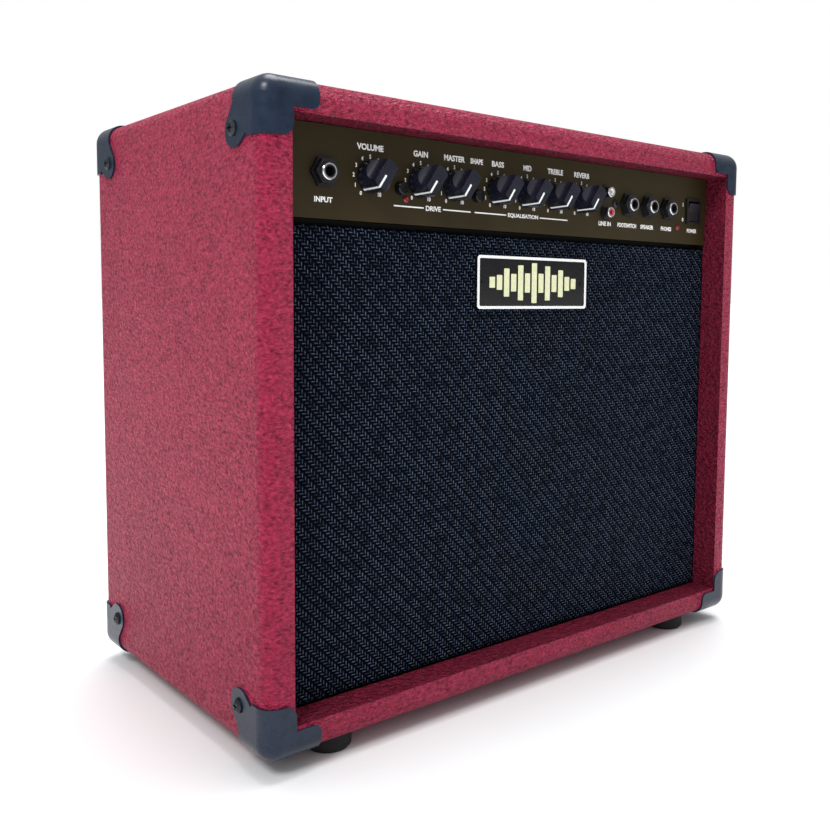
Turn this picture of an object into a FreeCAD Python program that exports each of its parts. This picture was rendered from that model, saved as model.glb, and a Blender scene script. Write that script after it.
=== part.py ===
import FreeCAD, Part
import os
import re
import Sketcher

# Guitar combo amplifier: a covered wooden cabinet, a recessed control panel above a cloth grille,
# a chassis hung from the top board and one loudspeaker on a baffle.
# Frame: millimetres, +Z up, the front faces -Y, origin at the bottom centre, under the feet.

Vector = FreeCAD.Vector
Rotation = FreeCAD.Rotation
Placement = FreeCAD.Placement

doc = FreeCAD.newDocument("GuitarAmplifier")
sheet = doc.addObject("Spreadsheet::Sheet", "sizes")

# ---------------------------------------------------------------- driving dimensions
SIZES = {
    # cabinet
    "cabinet_width": 480,
    "cabinet_depth": 266,
    "cabinet_height": 410,
    "board_thickness": 18,
    "rebate_depth": 9,
    "vinyl_thickness": 1,
    "arris_radius": 10.5,
    "front_recess": 20.8,
    "rear_inset": 4,
    "fit_gap": 0.5,
    # pressed metal corners
    "corner_thickness": 1.5,
    "corner_wrap": 14,
    "corner_leg_length": 38,
    "corner_leg_height": 34.4,
    "corner_leg_narrow": 17.5,
    "corner_leg_wide": 20.2,
    "corner_side_length": 33,
    "corner_side_drop": 13,
    "corner_notch_start": 16,
    "corner_bend": 5.4,
    "corner_leg_bend": 8,
    "tab_screw_back": 32.5,
    "tab_screw_drop": 28.2,
    "tab_radius": 10,
    "tab_end_drop": 11,
    "tab_notch_radius": 6.5,
    # screws that hold the corners, the rear panels, the feet and the handle
    "screw_radius": 1.8,
    "screw_length": 14,
    "screw_head_radius": 4.8,
    "screw_head_height": 2.4,
    "screw_slot_width": 1.1,
    "screw_gap": 0.05,
    # feet
    "foot_height": 12,
    "foot_radius": 15.5,
    "foot_taper": 1.6,
    "foot_recess_radius": 6,
    "foot_recess_depth": 7,
    "foot_inset_side": 59.2,
    "foot_inset_end": 24.5,
    # strap handle
    "handle_span": 230,
    "handle_width": 24,
    "strap_thickness": 7,
    "strap_rise": 20,
    "strap_flat": 26,
    "strap_slope": 36,
    "strap_lift": 1.5,
    "cap_length": 34,
    "cap_wall": 2.6,
    "cap_screw_offset": 9,
    "handle_screw_seat": 3,
    "strap_bend_radius": 38,
    # baffle, grille and badge
    "baffle_thickness": 12,
    "cleat_size": 18,
    "grille_gap": 3.5,
    "grille_frame_thickness": 10,
    "grille_frame_width": 24,
    "cloth_thickness": 1,
    "cloth_edge_radius": 4,
    "badge_width": 116,
    "badge_height": 38.5,
    "badge_thickness": 2.6,
    "badge_rim": 2,
    "badge_field_depth": 0.5,
    "badge_corner_radius": 2.5,
    "badge_pin_radius": 1.3,
    "badge_pin_inset": 5.5,
    "badge_pin_stand": 0.7,
    "badge_centre_height": 294,
    # rear panels
    "rear_panel_thickness": 9,
    "rear_upper_height": 108,
    "rear_lower_height": 120,
    "vent_length": 52,
    "vent_width": 5,
    "vent_pitch": 11,
    # control panel and chassis
    "panel_height": 58.7,
    "panel_thickness": 1.6,
    "control_row_drop": 30,
    "chassis_wall": 1.2,
    "chassis_depth": 150,
    "chassis_side_gap": 2,
    "chassis_lift": 1,
    "chassis_flange": 22,
    "chassis_bolt_radius": 2.5,
    "chassis_bolt_head_radius": 6,
    "chassis_bolt_head_height": 2.5,
    "chassis_bolt_inset_end": 36,
    # knobs, shafts and potentiometers
    "knob_base_radius": 10.6,
    "knob_top_radius": 10,
    "knob_height": 17.6,
    "knob_gap": 0.6,
    "knob_cavity_radius": 7,
    "knob_cavity_depth": 5,
    "knob_grip_half_width": 5,
    "knob_scoop_radius": 9.5,
    "knob_rest_angle": -145,
    "shaft_radius": 3,
    "shaft_gap": 0.05,
    "shaft_in_knob": 11,
    "pot_bushing_radius": 3.6,
    "pot_bushing_stand": 2.6,
    "pot_body_radius": 8.2,
    "pot_body_depth": 9,
    "volume_x": -150,
    "crunch_x": -108.3,
    "bass_x": -36.8,
    "knob_pitch": 30.1,
    # push buttons
    "button_radius": 4.3,
    "button_stand": 5,
    "button_travel": 3,
    "button_gap": 0.3,
    "button_switch_width": 12,
    "button_drop": 5.2,
    "drive_x": -125.7,
    "shape_x": -57.5,
    # sockets
    "jack_stand": 8,
    "jack_bore_radius": 3.25,
    "jack_nose_radius": 4.15,
    "jack_ferrule_height": 1.6,
    "jack_ferrule_radius": 5.4,
    "jack_thread_radius": 6.2,
    "jack_nut_radius": 8.6,
    "jack_nut_height": 3.8,
    "jack_washer_radius": 10.2,
    "jack_washer_height": 2.2,
    "jack_body_width": 17,
    "jack_body_depth": 26,
    "input_x": -185.8,
    "footswitch_x": 110.2,
    "jack_pitch": 26.4,
    "phono_x": 82.3,
    "phono_pitch": 16,
    "phono_ring_radius": 4.15,
    "phono_ring_height": 1.2,
    "phono_insert_radius": 2.6,
    "phono_pin_radius": 1.6,
    "phono_stand": 7,
    "phono_base_radius": 5.6,
    "phono_screw_offset": 12.4,
    # lamps and power switch
    "lamp_radius": 2.3,
    "lamp_stand": 1.6,
    "drive_lamp_x": -120.8,
    "drive_lamp_drop": 12.2,
    "power_lamp_x": 178.6,
    "power_lamp_drop": 15,
    "rocker_x": 200,
    "rocker_frame_width": 20,
    "rocker_frame_height": 22,
    "rocker_frame_stand": 2,
    "rocker_frame_lip": 2.2,
    "rocker_pivot_depth": 3,
    "rocker_proud": 2.4,
    "rocker_tilt": 7,
    "rocker_gap": 0.4,
    # chassis contents
    "circuit_board_width": 230,
    "circuit_board_height": 44,
    "circuit_board_thickness": 1.6,
    "circuit_board_centre_x": -45,
    "capacitor_radius": 8,
    "capacitor_height": 25,
    "transformer_width": 66,
    "transformer_depth": 56,
    "transformer_height": 46,
    "transformer_x": 150,
    "heat_sink_width": 90,
    "heat_sink_height": 40,
    "heat_sink_depth": 26,
    "heat_sink_x": -90,
    "fin_thickness": 2,
    "fin_pitch": 8,
    "inlet_x": -150,
    "inlet_width": 27,
    "inlet_height": 20,
    "inlet_flange_width": 48,
    "inlet_flange_height": 27,
    "inlet_depth": 24,
    "inlet_socket_width": 24,
    "inlet_socket_height": 16,
    "inlet_socket_depth": 17,
    # loudspeaker
    "speaker_radius": 128,
    "speaker_opening_radius": 114,
    "speaker_centre_height": 170,
    "speaker_flange_thickness": 2,
    "speaker_bolt_circle": 121,
    "basket_shoulder_radius": 106,
    "basket_depth": 66,
    "basket_base_radius": 52,
    "basket_wall": 2,
    "magnet_radius": 55,
    "magnet_depth": 34,
    "voice_coil_radius": 19.5,
    "voice_coil_gap": 0.6,
    "cone_thickness": 1,
    "cone_edge_radius": 94,
    "cone_depth": 36,
    "cone_set_back": 3,
    "dust_cap_radius": 32,
    "coil_reach": 8,
    "spider_depth": 54,
    "spider_thickness": 1,
}

# Places worked out from the driving dimensions, as formulas of their names.
PLACES = {
    "half_width": "cabinet_width / 2",
    "front": "-cabinet_depth / 2",
    "back": "cabinet_depth / 2",
    "base": "foot_height",
    "top": "foot_height + cabinet_height",
    "board_outer_x": "half_width - vinyl_thickness",
    "board_inner_x": "board_outer_x - board_thickness",
    "lining_x": "board_inner_x - vinyl_thickness",
    "board_inner_low": "base + vinyl_thickness + board_thickness",
    "board_inner_high": "top - vinyl_thickness - board_thickness",
    "opening_low": "board_inner_low + vinyl_thickness",
    "opening_high": "board_inner_high - vinyl_thickness",
    "panel_face": "front + front_recess",
    "panel_back": "panel_face + panel_thickness",
    "panel_low": "opening_high - panel_height",
    "row_height": "opening_high - control_row_drop",
    "chassis_front": "panel_back",
    "chassis_inside": "chassis_front + chassis_wall",
    "chassis_low": "panel_low + chassis_lift",
    "chassis_x": "board_inner_x - chassis_side_gap",
    "grille_high": "panel_low - grille_gap",
    "frame_front": "panel_face + cloth_thickness",
    "baffle_front": "frame_front + grille_frame_thickness",
    "baffle_back": "baffle_front + baffle_thickness",
    "rear_panel_back": "back - rear_inset",
    "rear_panel_front": "rear_panel_back - rear_panel_thickness",
    "speaker_z": "base + speaker_centre_height",
    "knob_front": "knob_gap + knob_height",
    "cap_height": "strap_lift + strap_thickness + fit_gap + cap_wall",
}


def bind(text):
    """Turn a formula of plain size and place names into a spreadsheet expression."""
    def expand(match):
        word = match.group(0)
        if word in SIZES:
            return "sizes." + word
        if word in PLACES:
            return "(" + bind(PLACES[word]) + ")"
        return word
    return re.sub(r"[A-Za-z_]\w*", expand, str(text))


for row, (alias, number) in enumerate(SIZES.items(), start=1):
    sheet.set("A%d" % row, alias)
    sheet.set("B%d" % row, str(number))
    sheet.setAlias("B%d" % row, alias)
doc.recompute()


# ---------------------------------------------------------------- building blocks
PARTS = {}
UP = Rotation()
DOWN = Rotation(Vector(1, 0, 0), 180)
TO_FRONT = Rotation(Vector(1, 0, 0), 90)
TO_BACK = Rotation(Vector(1, 0, 0), -90)
TO_RIGHT = Rotation(Vector(0, 1, 0), 90)
TO_LEFT = Rotation(Vector(0, 1, 0), -90)


def keep(node, item):
    """Name an object as a finished piece."""
    item.Label = node
    PARTS[node] = item
    return item


def place(item, x, y, z, turn=UP):
    """Stand an object at a bound position."""
    item.Placement = Placement(Vector(), turn)
    for axis, text in zip("xyz", (x, y, z)):
        item.setExpression("Placement.Base." + axis, bind(text))
    return item


def box(name, low, high):
    """A block between two bound corners."""
    block = doc.addObject("Part::Box", name)
    for side, near, far in zip(("Length", "Width", "Height"), low, high):
        block.setExpression(side, bind("(%s) - (%s)" % (far, near)))
    return place(block, *low)


def rod(name, start, turn, radius, length):
    """A cylinder that leaves a bound point along the turned +Z."""
    cylinder = doc.addObject("Part::Cylinder", name)
    cylinder.setExpression("Radius", bind(radius))
    cylinder.setExpression("Height", bind(length))
    return place(cylinder, *start, turn)


def cut(name, base, *tools):
    """Take one or more tools away from a solid."""
    tool = tools[0] if len(tools) == 1 else group(name + "_tools", tools)
    result = doc.addObject("Part::Cut", name)
    result.Base = base
    result.Tool = tool
    return result


def fuse(name, *items):
    result = doc.addObject("Part::MultiFuse", name)
    result.Shapes = list(items)
    result.Refine = True
    return result


def common(name, base, tool):
    result = doc.addObject("Part::Common", name)
    result.Base = base
    result.Tool = tool
    return result


def group(name, items):
    """Separate solids kept side by side in one shape."""
    result = doc.addObject("Part::Compound", name)
    result.Links = list(items)
    return result


def mirrored(name, source, normal, height="0"):
    """The mirror image across a plane through the centre, or at a bound height."""
    result = doc.addObject("Part::Mirroring", name)
    result.Source = source
    result.Normal = normal
    if normal.z:
        result.setExpression("Base.z", bind(height))
    return result


def copies(name, source, places):
    """Repeat a piece at bound places; each place is (x, y, z, turn)."""
    links = []
    for number, (x, y, z, turn) in enumerate(places):
        link = doc.addObject("App::Link", "%s_%d" % (name, number))
        link.LinkedObject = source
        links.append(place(link, x, y, z, turn))
    return group(name, links)


def new_body(name):
    return doc.addObject("PartDesign::Body", name)


def plane_of(body, role):
    return [item for item in body.Origin.OriginFeatures if item.Role == role][0]


def feature(body, kind, **bound):
    """Add a PartDesign feature whose given properties are bound."""
    result = body.newObject("PartDesign::" + kind, body.Name + "_" + kind)
    for prop, text in bound.items():
        result.setExpression(prop, bind(text))
    return result


def new_sketch(body, role):
    sketch = body.newObject("Sketcher::SketchObject", body.Name + "_sketch")
    sketch.AttachmentSupport = [(plane_of(body, role), "")]
    sketch.MapMode = "FlatFace"
    return sketch


def number_of(text):
    """The present value of a formula, which only seeds a sketch before its constraints hold it."""
    return float(sheet.evalExpression(bind(text)))


def add_outline(sketch, corners):
    """A closed outline of straight lines through bound corners."""
    first = sketch.GeometryCount
    seeds = [Vector(number_of(u), number_of(v), 0) for u, v in corners]
    count = len(corners)
    for index in range(count):
        sketch.addGeometry(Part.LineSegment(seeds[index], seeds[(index + 1) % count]))
    for index in range(count):
        after = first + (index + 1) % count
        sketch.addConstraint(Sketcher.Constraint("Coincident", first + index, 2, after, 1))
    for index, corner in enumerate(corners):
        for kind, text, seed in zip(("DistanceX", "DistanceY"), corner, seeds[index]):
            hold = sketch.addConstraint(Sketcher.Constraint(kind, -1, 1, first + index, 1, seed))
            sketch.setExpression("Constraints[%d]" % hold, bind(text))


def add_circle(sketch, u, v, radius):
    """A circle with a bound centre and radius."""
    centre = Vector(number_of(u), number_of(v), 0)
    edge = sketch.addGeometry(Part.Circle(centre, Vector(0, 0, 1), number_of(radius)))
    for kind, text, seed in zip(("DistanceX", "DistanceY"), (u, v), centre):
        hold = sketch.addConstraint(Sketcher.Constraint(kind, -1, 1, edge, 3, seed))
        sketch.setExpression("Constraints[%d]" % hold, bind(text))
    hold = sketch.addConstraint(Sketcher.Constraint("Radius", edge, number_of(radius)))
    sketch.setExpression("Constraints[%d]" % hold, bind(radius))


def rectangle(low_u, low_v, high_u, high_v):
    return [(low_u, low_v), (high_u, low_v), (high_u, high_v), (low_u, high_v)]


def middle(width, height, u="0", v="0"):
    """The corners of a rectangle about a bound centre."""
    half_w = "(%s) / 2" % width
    half_h = "(%s) / 2" % height
    return rectangle("%s - %s" % (u, half_w), "%s - %s" % (v, half_h),
                     "%s + %s" % (u, half_w), "%s + %s" % (v, half_h))


def plate(name, role, outline, length, holes=(), windows=()):
    """A padded outline, less round holes and straight-sided windows."""
    body = new_body(name)
    sketch = new_sketch(body, role)
    add_outline(sketch, outline)
    for hole in holes:
        add_circle(sketch, *hole)
    for window in windows:
        add_outline(sketch, window)
    pad = feature(body, "Pad", Length=length)
    pad.Profile = sketch
    doc.recompute()
    return body


def round_edges(body, radius, wanted):
    """Round the edges of a body's latest feature that a test picks."""
    doc.recompute()
    tip = body.Tip
    names = ["Edge%d" % (index + 1) for index, edge in enumerate(tip.Shape.Edges) if wanted(edge)]
    if not names:
        raise ValueError("no edge to round on " + body.Name)
    fillet = feature(body, "Fillet", Radius=radius)
    fillet.Base = (tip, names)
    doc.recompute()
    return body


def runs_along(edge, axis):
    straight = edge.Curve.TypeId == "Part::GeomLine"
    return straight and abs(abs(edge.tangentAt(edge.FirstParameter).dot(axis)) - 1) < 1e-6


def block_body(name, low, high, radius=None, wanted=lambda edge: True):
    """A block between two bound corners, with chosen edges rounded."""
    body = new_body(name)
    sides = {}
    for side, near, far in zip(("Length", "Width", "Height"), low, high):
        sides[side] = "(%s) - (%s)" % (far, near)
    feature(body, "AdditiveBox", **sides)
    if radius:
        round_edges(body, radius, wanted)
    return place(body, *low)


def turned(name, profile):
    """A solid of revolution about Z, from a bound profile of (radius, height) corners."""
    body = new_body(name)
    sketch = new_sketch(body, "XZ_Plane")
    add_outline(sketch, profile)
    spin = feature(body, "Revolution")
    spin.Profile = sketch
    spin.ReferenceAxis = (sketch, ["V_Axis"])
    spin.Angle = 360
    doc.recompute()
    return body


# ---------------------------------------------------------------- fasteners that repeat
def cross_screw(name, radius, length, head_radius, head_height):
    """A pan-head screw along Z, its head seated at zero, with a cross recess."""
    body = turned(name, [("0", "-(%s)" % length), (radius, "-(%s) + 1.5" % length), (radius, "0"),
                         (head_radius, "0"), (head_radius, "(%s) * 0.45" % head_height),
                         ("(%s) * 0.6" % head_radius, head_height), ("0", head_height)])
    sketch = body.newObject("Sketcher::SketchObject", name + "_cross")
    sketch.AttachmentSupport = [(plane_of(body, "XY_Plane"), "")]
    sketch.MapMode = "FlatFace"
    arm = "(%s) * 0.55" % head_radius
    slot = "screw_slot_width / 2"
    add_outline(sketch, [("-(%s)" % arm, "-" + slot), ("-" + slot, "-" + slot), ("-" + slot, "-(%s)" % arm),
                         (slot, "-(%s)" % arm), (slot, "-" + slot), (arm, "-" + slot), (arm, slot),
                         (slot, slot), (slot, arm), ("-" + slot, arm), ("-" + slot, slot),
                         ("-(%s)" % arm, slot)])
    sketch.AttachmentOffset = Placement(Vector(), UP)
    sketch.setExpression("AttachmentOffset.Base.z", bind("(%s) * 0.4" % head_height))
    pocket = feature(body, "Pocket", Length=head_height)
    pocket.Profile = sketch
    pocket.Reversed = True
    doc.recompute()
    return body


CORNER_X = "half_width + corner_thickness"
CORNER_HIGH = "top + corner_thickness"
CORNER_LOW = "base - corner_thickness"
SCREW_BACK_Y = "cabinet_depth / 2 - tab_screw_back"


def corner_screw_places():
    """Two screws on each of the eight corners: one through the side, one through the top or bottom."""
    spots = []
    for side, turn in (("-", TO_LEFT), ("", TO_RIGHT)):
        for end in ("-", ""):
            y = "%s(%s)" % (end, SCREW_BACK_Y)
            across = "%s(half_width - tab_screw_drop)" % side
            spots.append(("%s(%s)" % (side, CORNER_X), y, "top - tab_screw_drop", turn))
            spots.append(("%s(%s)" % (side, CORNER_X), y, "base + tab_screw_drop", turn))
            spots.append((across, y, CORNER_HIGH, UP))
            spots.append((across, y, CORNER_LOW, DOWN))
    return spots


FOOT_X = "half_width - foot_inset_side"
FOOT_Y = "cabinet_depth / 2 - foot_inset_end"
SIGNS = ("-", "")
FOOT_SPOTS = [(side + "(" + FOOT_X + ")", end + "(" + FOOT_Y + ")") for side in SIGNS for end in SIGNS]
REAR_SCREW_X = "board_inner_x - cleat_size / 2"
REAR_UPPER_LOW = "opening_high - rear_upper_height"
REAR_LOWER_HIGH = "opening_low + rear_lower_height"
REAR_SCREW_HEIGHTS = ["opening_high - 16", REAR_UPPER_LOW + " + 14",
                      REAR_LOWER_HIGH + " - 14", "opening_low + 16"]
HANDLE_SCREW_X = "handle_span / 2 - cap_screw_offset"

screw = cross_screw("cabinet_screw", "screw_radius", "screw_length", "screw_head_radius",
                    "screw_head_height")
screw_hole = rod("screw_hole", ("0", "0", "0"), DOWN, "screw_radius + screw_gap", "screw_length + 1")
screw_clear = rod("screw_clear", ("0", "0", "0"), UP, "screw_radius + screw_gap", "1")
screw_hole_source = fuse("screw_hole_source", screw_hole, screw_clear)
screw_spots = corner_screw_places()
for foot_x, foot_y in FOOT_SPOTS:
    screw_spots.append((foot_x, foot_y, "foot_recess_depth", DOWN))
for side in SIGNS:
    for height in REAR_SCREW_HEIGHTS:
        screw_spots.append((side + "(" + REAR_SCREW_X + ")", "rear_panel_back", height, TO_BACK))
    screw_spots.append((side + "(" + HANDLE_SCREW_X + ")", "0", "top + handle_screw_seat", UP))
keep("cabinet_screws", copies("screws", screw, screw_spots))
screw_holes = copies("screw_holes", screw_hole_source, screw_spots)

BOLT_LENGTH = "vinyl_thickness + board_thickness + chassis_wall + 2"
chassis_bolt = cross_screw("chassis_bolt", "chassis_bolt_radius", BOLT_LENGTH, "chassis_bolt_head_radius",
                           "chassis_bolt_head_height")
bolt_bore = rod("bolt_hole_rod", ("0", "0", "1"), DOWN, "chassis_bolt_radius + screw_gap",
                "board_thickness + 12")
bolt_hole = group("bolt_hole", [bolt_bore])
CHASSIS_BOLT_X = "chassis_x - chassis_flange / 2"
BOLT_YS = ("chassis_front + chassis_bolt_inset_end",
           "chassis_front + chassis_depth - chassis_bolt_inset_end")
bolt_spots = []
for side in SIGNS:
    for y in BOLT_YS:
        bolt_spots.append((side + "(" + CHASSIS_BOLT_X + ")", y, "top", UP))
keep("chassis_bolts", copies("bolts", chassis_bolt, bolt_spots))
bolt_holes = copies("bolt_holes", bolt_hole, bolt_spots)


# ---------------------------------------------------------------- cabinet boards and covering
def shell_block(name, grow, radius):
    """The whole cabinet as one rounded block, grown or shrunk by a bound amount."""
    return block_body(name, ("-half_width - (%s)" % grow, "front - (%s)" % grow, "base - (%s)" % grow),
                      ("half_width + (%s)" % grow, "back + (%s)" % grow, "top + (%s)" % grow), radius)


core = shell_block("board_core", "-vinyl_thickness", "arris_radius - vinyl_thickness")
cover = shell_block("cover_block", "0", "arris_radius")
metal = shell_block("metal_block", "corner_thickness", "arris_radius + corner_thickness")

TONGUE_X = "board_inner_x + rebate_depth"


def slab(name, low_z, high_z, reach):
    return box(name, ("-(%s)" % reach, "front - 1", low_z), (reach, "back + 1", high_z))


top_slab = slab("top_slab", "board_inner_high", "top", TONGUE_X)
bottom_slab = slab("bottom_slab", "base", "board_inner_low", TONGUE_X)
keep("top_board", cut("top_bored", common("top_blank", core, top_slab), screw_holes, bolt_holes))
keep("bottom_board", cut("bottom_bored", common("bottom_blank", core, bottom_slab), screw_holes))

for node, near, far in (("side_board_left", "-half_width", "-(board_inner_x)"),
                        ("side_board_right", "board_inner_x", "half_width")):
    side_slab = box(node + "_slab", (near, "front - 1", "base"), (far, "back + 1", "top"))
    blank = common(node + "_blank", core, side_slab)
    keep(node, cut(node + "_bored", blank, top_slab, bottom_slab, screw_holes))


def tunnel(name, x, low_z, high_z, near_y, far_y):
    return box(name, ("-(%s)" % x, near_y, low_z), (x, far_y, high_z))


hollow = tunnel("board_hollow", "board_inner_x", "board_inner_low", "board_inner_high", "front - 1",
                "back + 1")
board_ring = cut("board_ring", core, hollow)
front_opening = tunnel("cover_opening", "lining_x", "opening_low", "opening_high", "front - 1", "back + 1")
unlined = tunnel("cover_unlined", "board_inner_x", "board_inner_low", "board_inner_high", "panel_back",
                 "rear_panel_front")
keep("vinyl_covering", cut("vinyl_bored", cover, board_ring, front_opening, unlined, screw_holes,
                           bolt_holes))


# ---------------------------------------------------------------- metal corners
AXES = {"YZ_Plane": ("y", "z", Vector(1, 0, 0)), "XY_Plane": ("x", "y", Vector(0, 0, 1)),
        "XZ_Plane": ("x", "z", Vector(0, 1, 0))}


def round_corners(body, role, corners, radius):
    """Round the padded edges that stand on the given corners of a plate's outline."""
    first, second, normal = AXES[role]
    spots = [(number_of(u), number_of(v)) for u, v in corners]

    def stands_there(edge):
        middle_point = edge.CenterOfMass
        here = (getattr(middle_point, first), getattr(middle_point, second))
        return runs_along(edge, normal) and any(
            abs(here[0] - u) < 0.01 and abs(here[1] - v) < 0.01 for u, v in spots)
    return round_edges(body, radius, stands_there)


def tab_plan(along, down):
    """One tabbed side of a corner: along runs back from the front, down runs in from the other edge.

    It gives the outline, then the corners rounded by the bend, the tab's radius and the notch's radius.
    """
    low = "tab_screw_drop + tab_end_drop"
    back_edge = "tab_screw_back + tab_radius"
    tab_start = "tab_screw_back - tab_radius * 0.55"
    bends = [("corner_side_length", "corner_side_drop"), (back_edge, "tab_screw_drop - 3")]
    tab_end = [(back_edge, low)]
    notch_end = [(tab_start, low)]
    plan = [("-3", "-3"), ("corner_side_length", "-3")] + bends + tab_end + notch_end
    plan += [("corner_notch_start + 1.2", "corner_leg_height - 2.2"),
             ("corner_notch_start", "corner_leg_height"), ("-3", "corner_leg_height")]

    def laid(corners):
        return [(along(u), down(v)) for u, v in corners]
    return laid(plan), laid(bends), laid(tab_end), laid(notch_end)


def round_tab(region, role, bends, tab_end, notch_end):
    round_corners(region, role, bends, "corner_bend")
    round_corners(region, role, tab_end, "tab_radius * 0.97")
    round_corners(region, role, notch_end, "tab_notch_radius")


side_plan, *side_rounds = tab_plan(lambda u: "front + (%s)" % u, lambda v: "top - (%s)" % v)
side_region = plate("corner_side", "YZ_Plane", side_plan, "corner_wrap + 3")
round_tab(side_region, "YZ_Plane", *side_rounds)
place(side_region, "-half_width - 3", "0", "0")

swap_plan, *swap_rounds = tab_plan(lambda u: "front + (%s)" % u, lambda v: "-half_width + (%s)" % v)
top_rounds = [[(v, u) for u, v in corners] for corners in swap_rounds]
top_region = plate("corner_top", "XY_Plane", [(v, u) for u, v in swap_plan], "corner_wrap + 3")
round_tab(top_region, "XY_Plane", *top_rounds)
place(top_region, "0", "0", "top - corner_wrap")

leg_end = ("-half_width + corner_leg_length", "top - corner_leg_narrow")
leg_foot = ("-half_width + corner_leg_wide", "top - corner_leg_height")
front_plan = [("-half_width - 3", "top + 3"), ("-half_width + corner_leg_length", "top + 3"), leg_end,
              ("-half_width + corner_leg_wide", "top - corner_leg_narrow"), leg_foot,
              ("-half_width - 3", "top - corner_leg_height")]
front_region = plate("corner_front", "XZ_Plane", front_plan, "corner_wrap + 3")
front_region.Tip.Reversed = True
round_corners(front_region, "XZ_Plane", [leg_end], "corner_bend")
round_corners(front_region, "XZ_Plane", [leg_foot], "corner_leg_bend")
place(front_region, "0", "front - 3", "0")

metal_shell = cut("metal_shell", metal, cover)
corner_region = fuse("corner_region", side_region, top_region, front_region)
corner = cut("corner", common("corner_blank", metal_shell, corner_region), screw_holes)
corner_low = mirrored("corner_low", corner, Vector(0, 0, 1), "(base + top) / 2")
corner_left = group("corners_left", [corner, corner_low])
corner_front = group("corners_front", [corner_left, mirrored("corner_right", corner_left, Vector(1, 0, 0))])
corner_rear = mirrored("corners_rear", corner_front, Vector(0, 1, 0))
keep("metal_corners", group("corners", [corner_front, corner_rear]))


# ---------------------------------------------------------------- feet and handle
foot = turned("foot", [("0", "foot_recess_depth"), ("foot_recess_radius", "foot_recess_depth"),
                       ("foot_recess_radius", "0"), ("foot_radius - foot_taper", "0"),
                       ("foot_radius", "2"), ("foot_radius", "foot_height"), ("0", "foot_height")])
feet = copies("feet", foot, [(foot_x, foot_y, "0", UP) for foot_x, foot_y in FOOT_SPOTS])
keep("rubber_feet", cut("feet_bored", feet, screw_holes))

STRAP_LOW = "top + strap_lift"
STRAP_END = "handle_span / 2 - cap_length + 12"
bend_start = "(%s) - strap_flat" % STRAP_END
bend_end = bend_start + " - strap_slope"
strap_plan = []
for sign, order in (("-", 1), ("", -1)):
    half = [("%s(%s)" % (sign, STRAP_END), STRAP_LOW), ("%s(%s)" % (sign, bend_start), STRAP_LOW),
            ("%s(%s)" % (sign, bend_end), STRAP_LOW + " + strap_rise")]
    strap_plan += half[::order]
strap_top = [(u, v + " + strap_thickness") for u, v in strap_plan]
strap = plate("strap", "XZ_Plane", strap_plan + strap_top[::-1], "handle_width")
strap.Tip.Reversed = True
low_bends = [strap_plan[1], strap_plan[4], strap_top[2], strap_top[3]]
high_bends = [strap_top[1], strap_top[4], strap_plan[2], strap_plan[3]]
round_corners(strap, "XZ_Plane", low_bends, "strap_bend_radius + strap_thickness")
round_corners(strap, "XZ_Plane", high_bends, "strap_bend_radius")


def on_strap_side(edge):
    across = edge.CenterOfMass.y
    on_side = abs(across) < 0.01 or abs(across - number_of("handle_width")) < 0.01
    return on_side and not runs_along(edge, Vector(0, 0, 1))


round_edges(strap, "strap_thickness * 0.35", on_strap_side)
place(strap, "0", "-handle_width / 2", "0")
keep("handle_strap", strap)

caps = []
for side in ("-1", "1"):
    name = "cap_left" if side == "-1" else "cap_right"
    centre = "%s * (handle_span / 2 - cap_length / 2)" % side
    half = "cap_length / 2"
    wide = "handle_width / 2 + fit_gap + cap_wall"
    cap = block_body(name, ("%s - %s" % (centre, half), "-(%s)" % wide, "top"),
                     ("%s + %s" % (centre, half), wide, "top + cap_height"), "cap_wall",
                     lambda edge: edge.CenterOfMass.z > number_of("cap_height") / 2 - 0.01)
    slot_end = "%s * (handle_span / 2 - cap_length + 13)" % side
    slot_mouth = "%s * (handle_span / 2 - cap_length - 1)" % side
    low_x, high_x = (slot_end, slot_mouth) if side == "-1" else (slot_mouth, slot_end)
    slot = box(name + "_slot", (low_x, "-handle_width / 2 - fit_gap", "top"),
               (high_x, "handle_width / 2 + fit_gap", "top + cap_height - cap_wall"))
    screw_well = rod(name + "_well", ("%s * (%s)" % (side, HANDLE_SCREW_X), "0", "top + handle_screw_seat"),
                     UP, "screw_head_radius + fit_gap", "cap_height")
    caps.append(cut(name + "_cut", cap, slot, screw_well, screw_holes))
keep("handle_end_caps", group("caps", caps))


# ---------------------------------------------------------------- baffle, grille, badge and rear panels
BAFFLE_X = "board_inner_x - fit_gap"
bolt_ring = []
for index in range(8):
    angle = 22.5 + 45 * index
    bolt_ring.append(("speaker_bolt_circle * cos(%s deg)" % angle,
                      "speaker_z + speaker_bolt_circle * sin(%s deg)" % angle))
baffle_holes = [("0", "speaker_z", "speaker_opening_radius")]
baffle_holes += [(u, v, "screw_radius + screw_gap") for u, v in bolt_ring]
baffle_plan = rectangle("-(%s)" % BAFFLE_X, "board_inner_low", BAFFLE_X, "chassis_low - fit_gap")
baffle = plate("baffle", "XZ_Plane", baffle_plan, "baffle_thickness", baffle_holes)
place(baffle, "0", "baffle_back", "0")
keep("baffle_board", baffle)

cleats = []
for side in ("left", "right"):
    near, far = ("-(board_inner_x)", "-(board_inner_x) + cleat_size")
    if side == "right":
        near, far = ("board_inner_x - cleat_size", "board_inner_x")
    cleats.append(box("baffle_cleat_" + side, (near, "baffle_back", "board_inner_low"),
                      (far, "baffle_back + cleat_size", "grille_high")))
    cleats.append(box("rear_cleat_" + side, (near, "rear_panel_front - cleat_size", "board_inner_low"),
                      (far, "rear_panel_front", "board_inner_high")))
cleats.append(box("baffle_cleat_low", ("-(board_inner_x) + cleat_size", "baffle_back", "board_inner_low"),
                  ("board_inner_x - cleat_size", "baffle_back + cleat_size",
                   "board_inner_low + cleat_size")))
keep("mounting_cleats", cut("cleats_bored", group("cleats", cleats), screw_holes))

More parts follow.
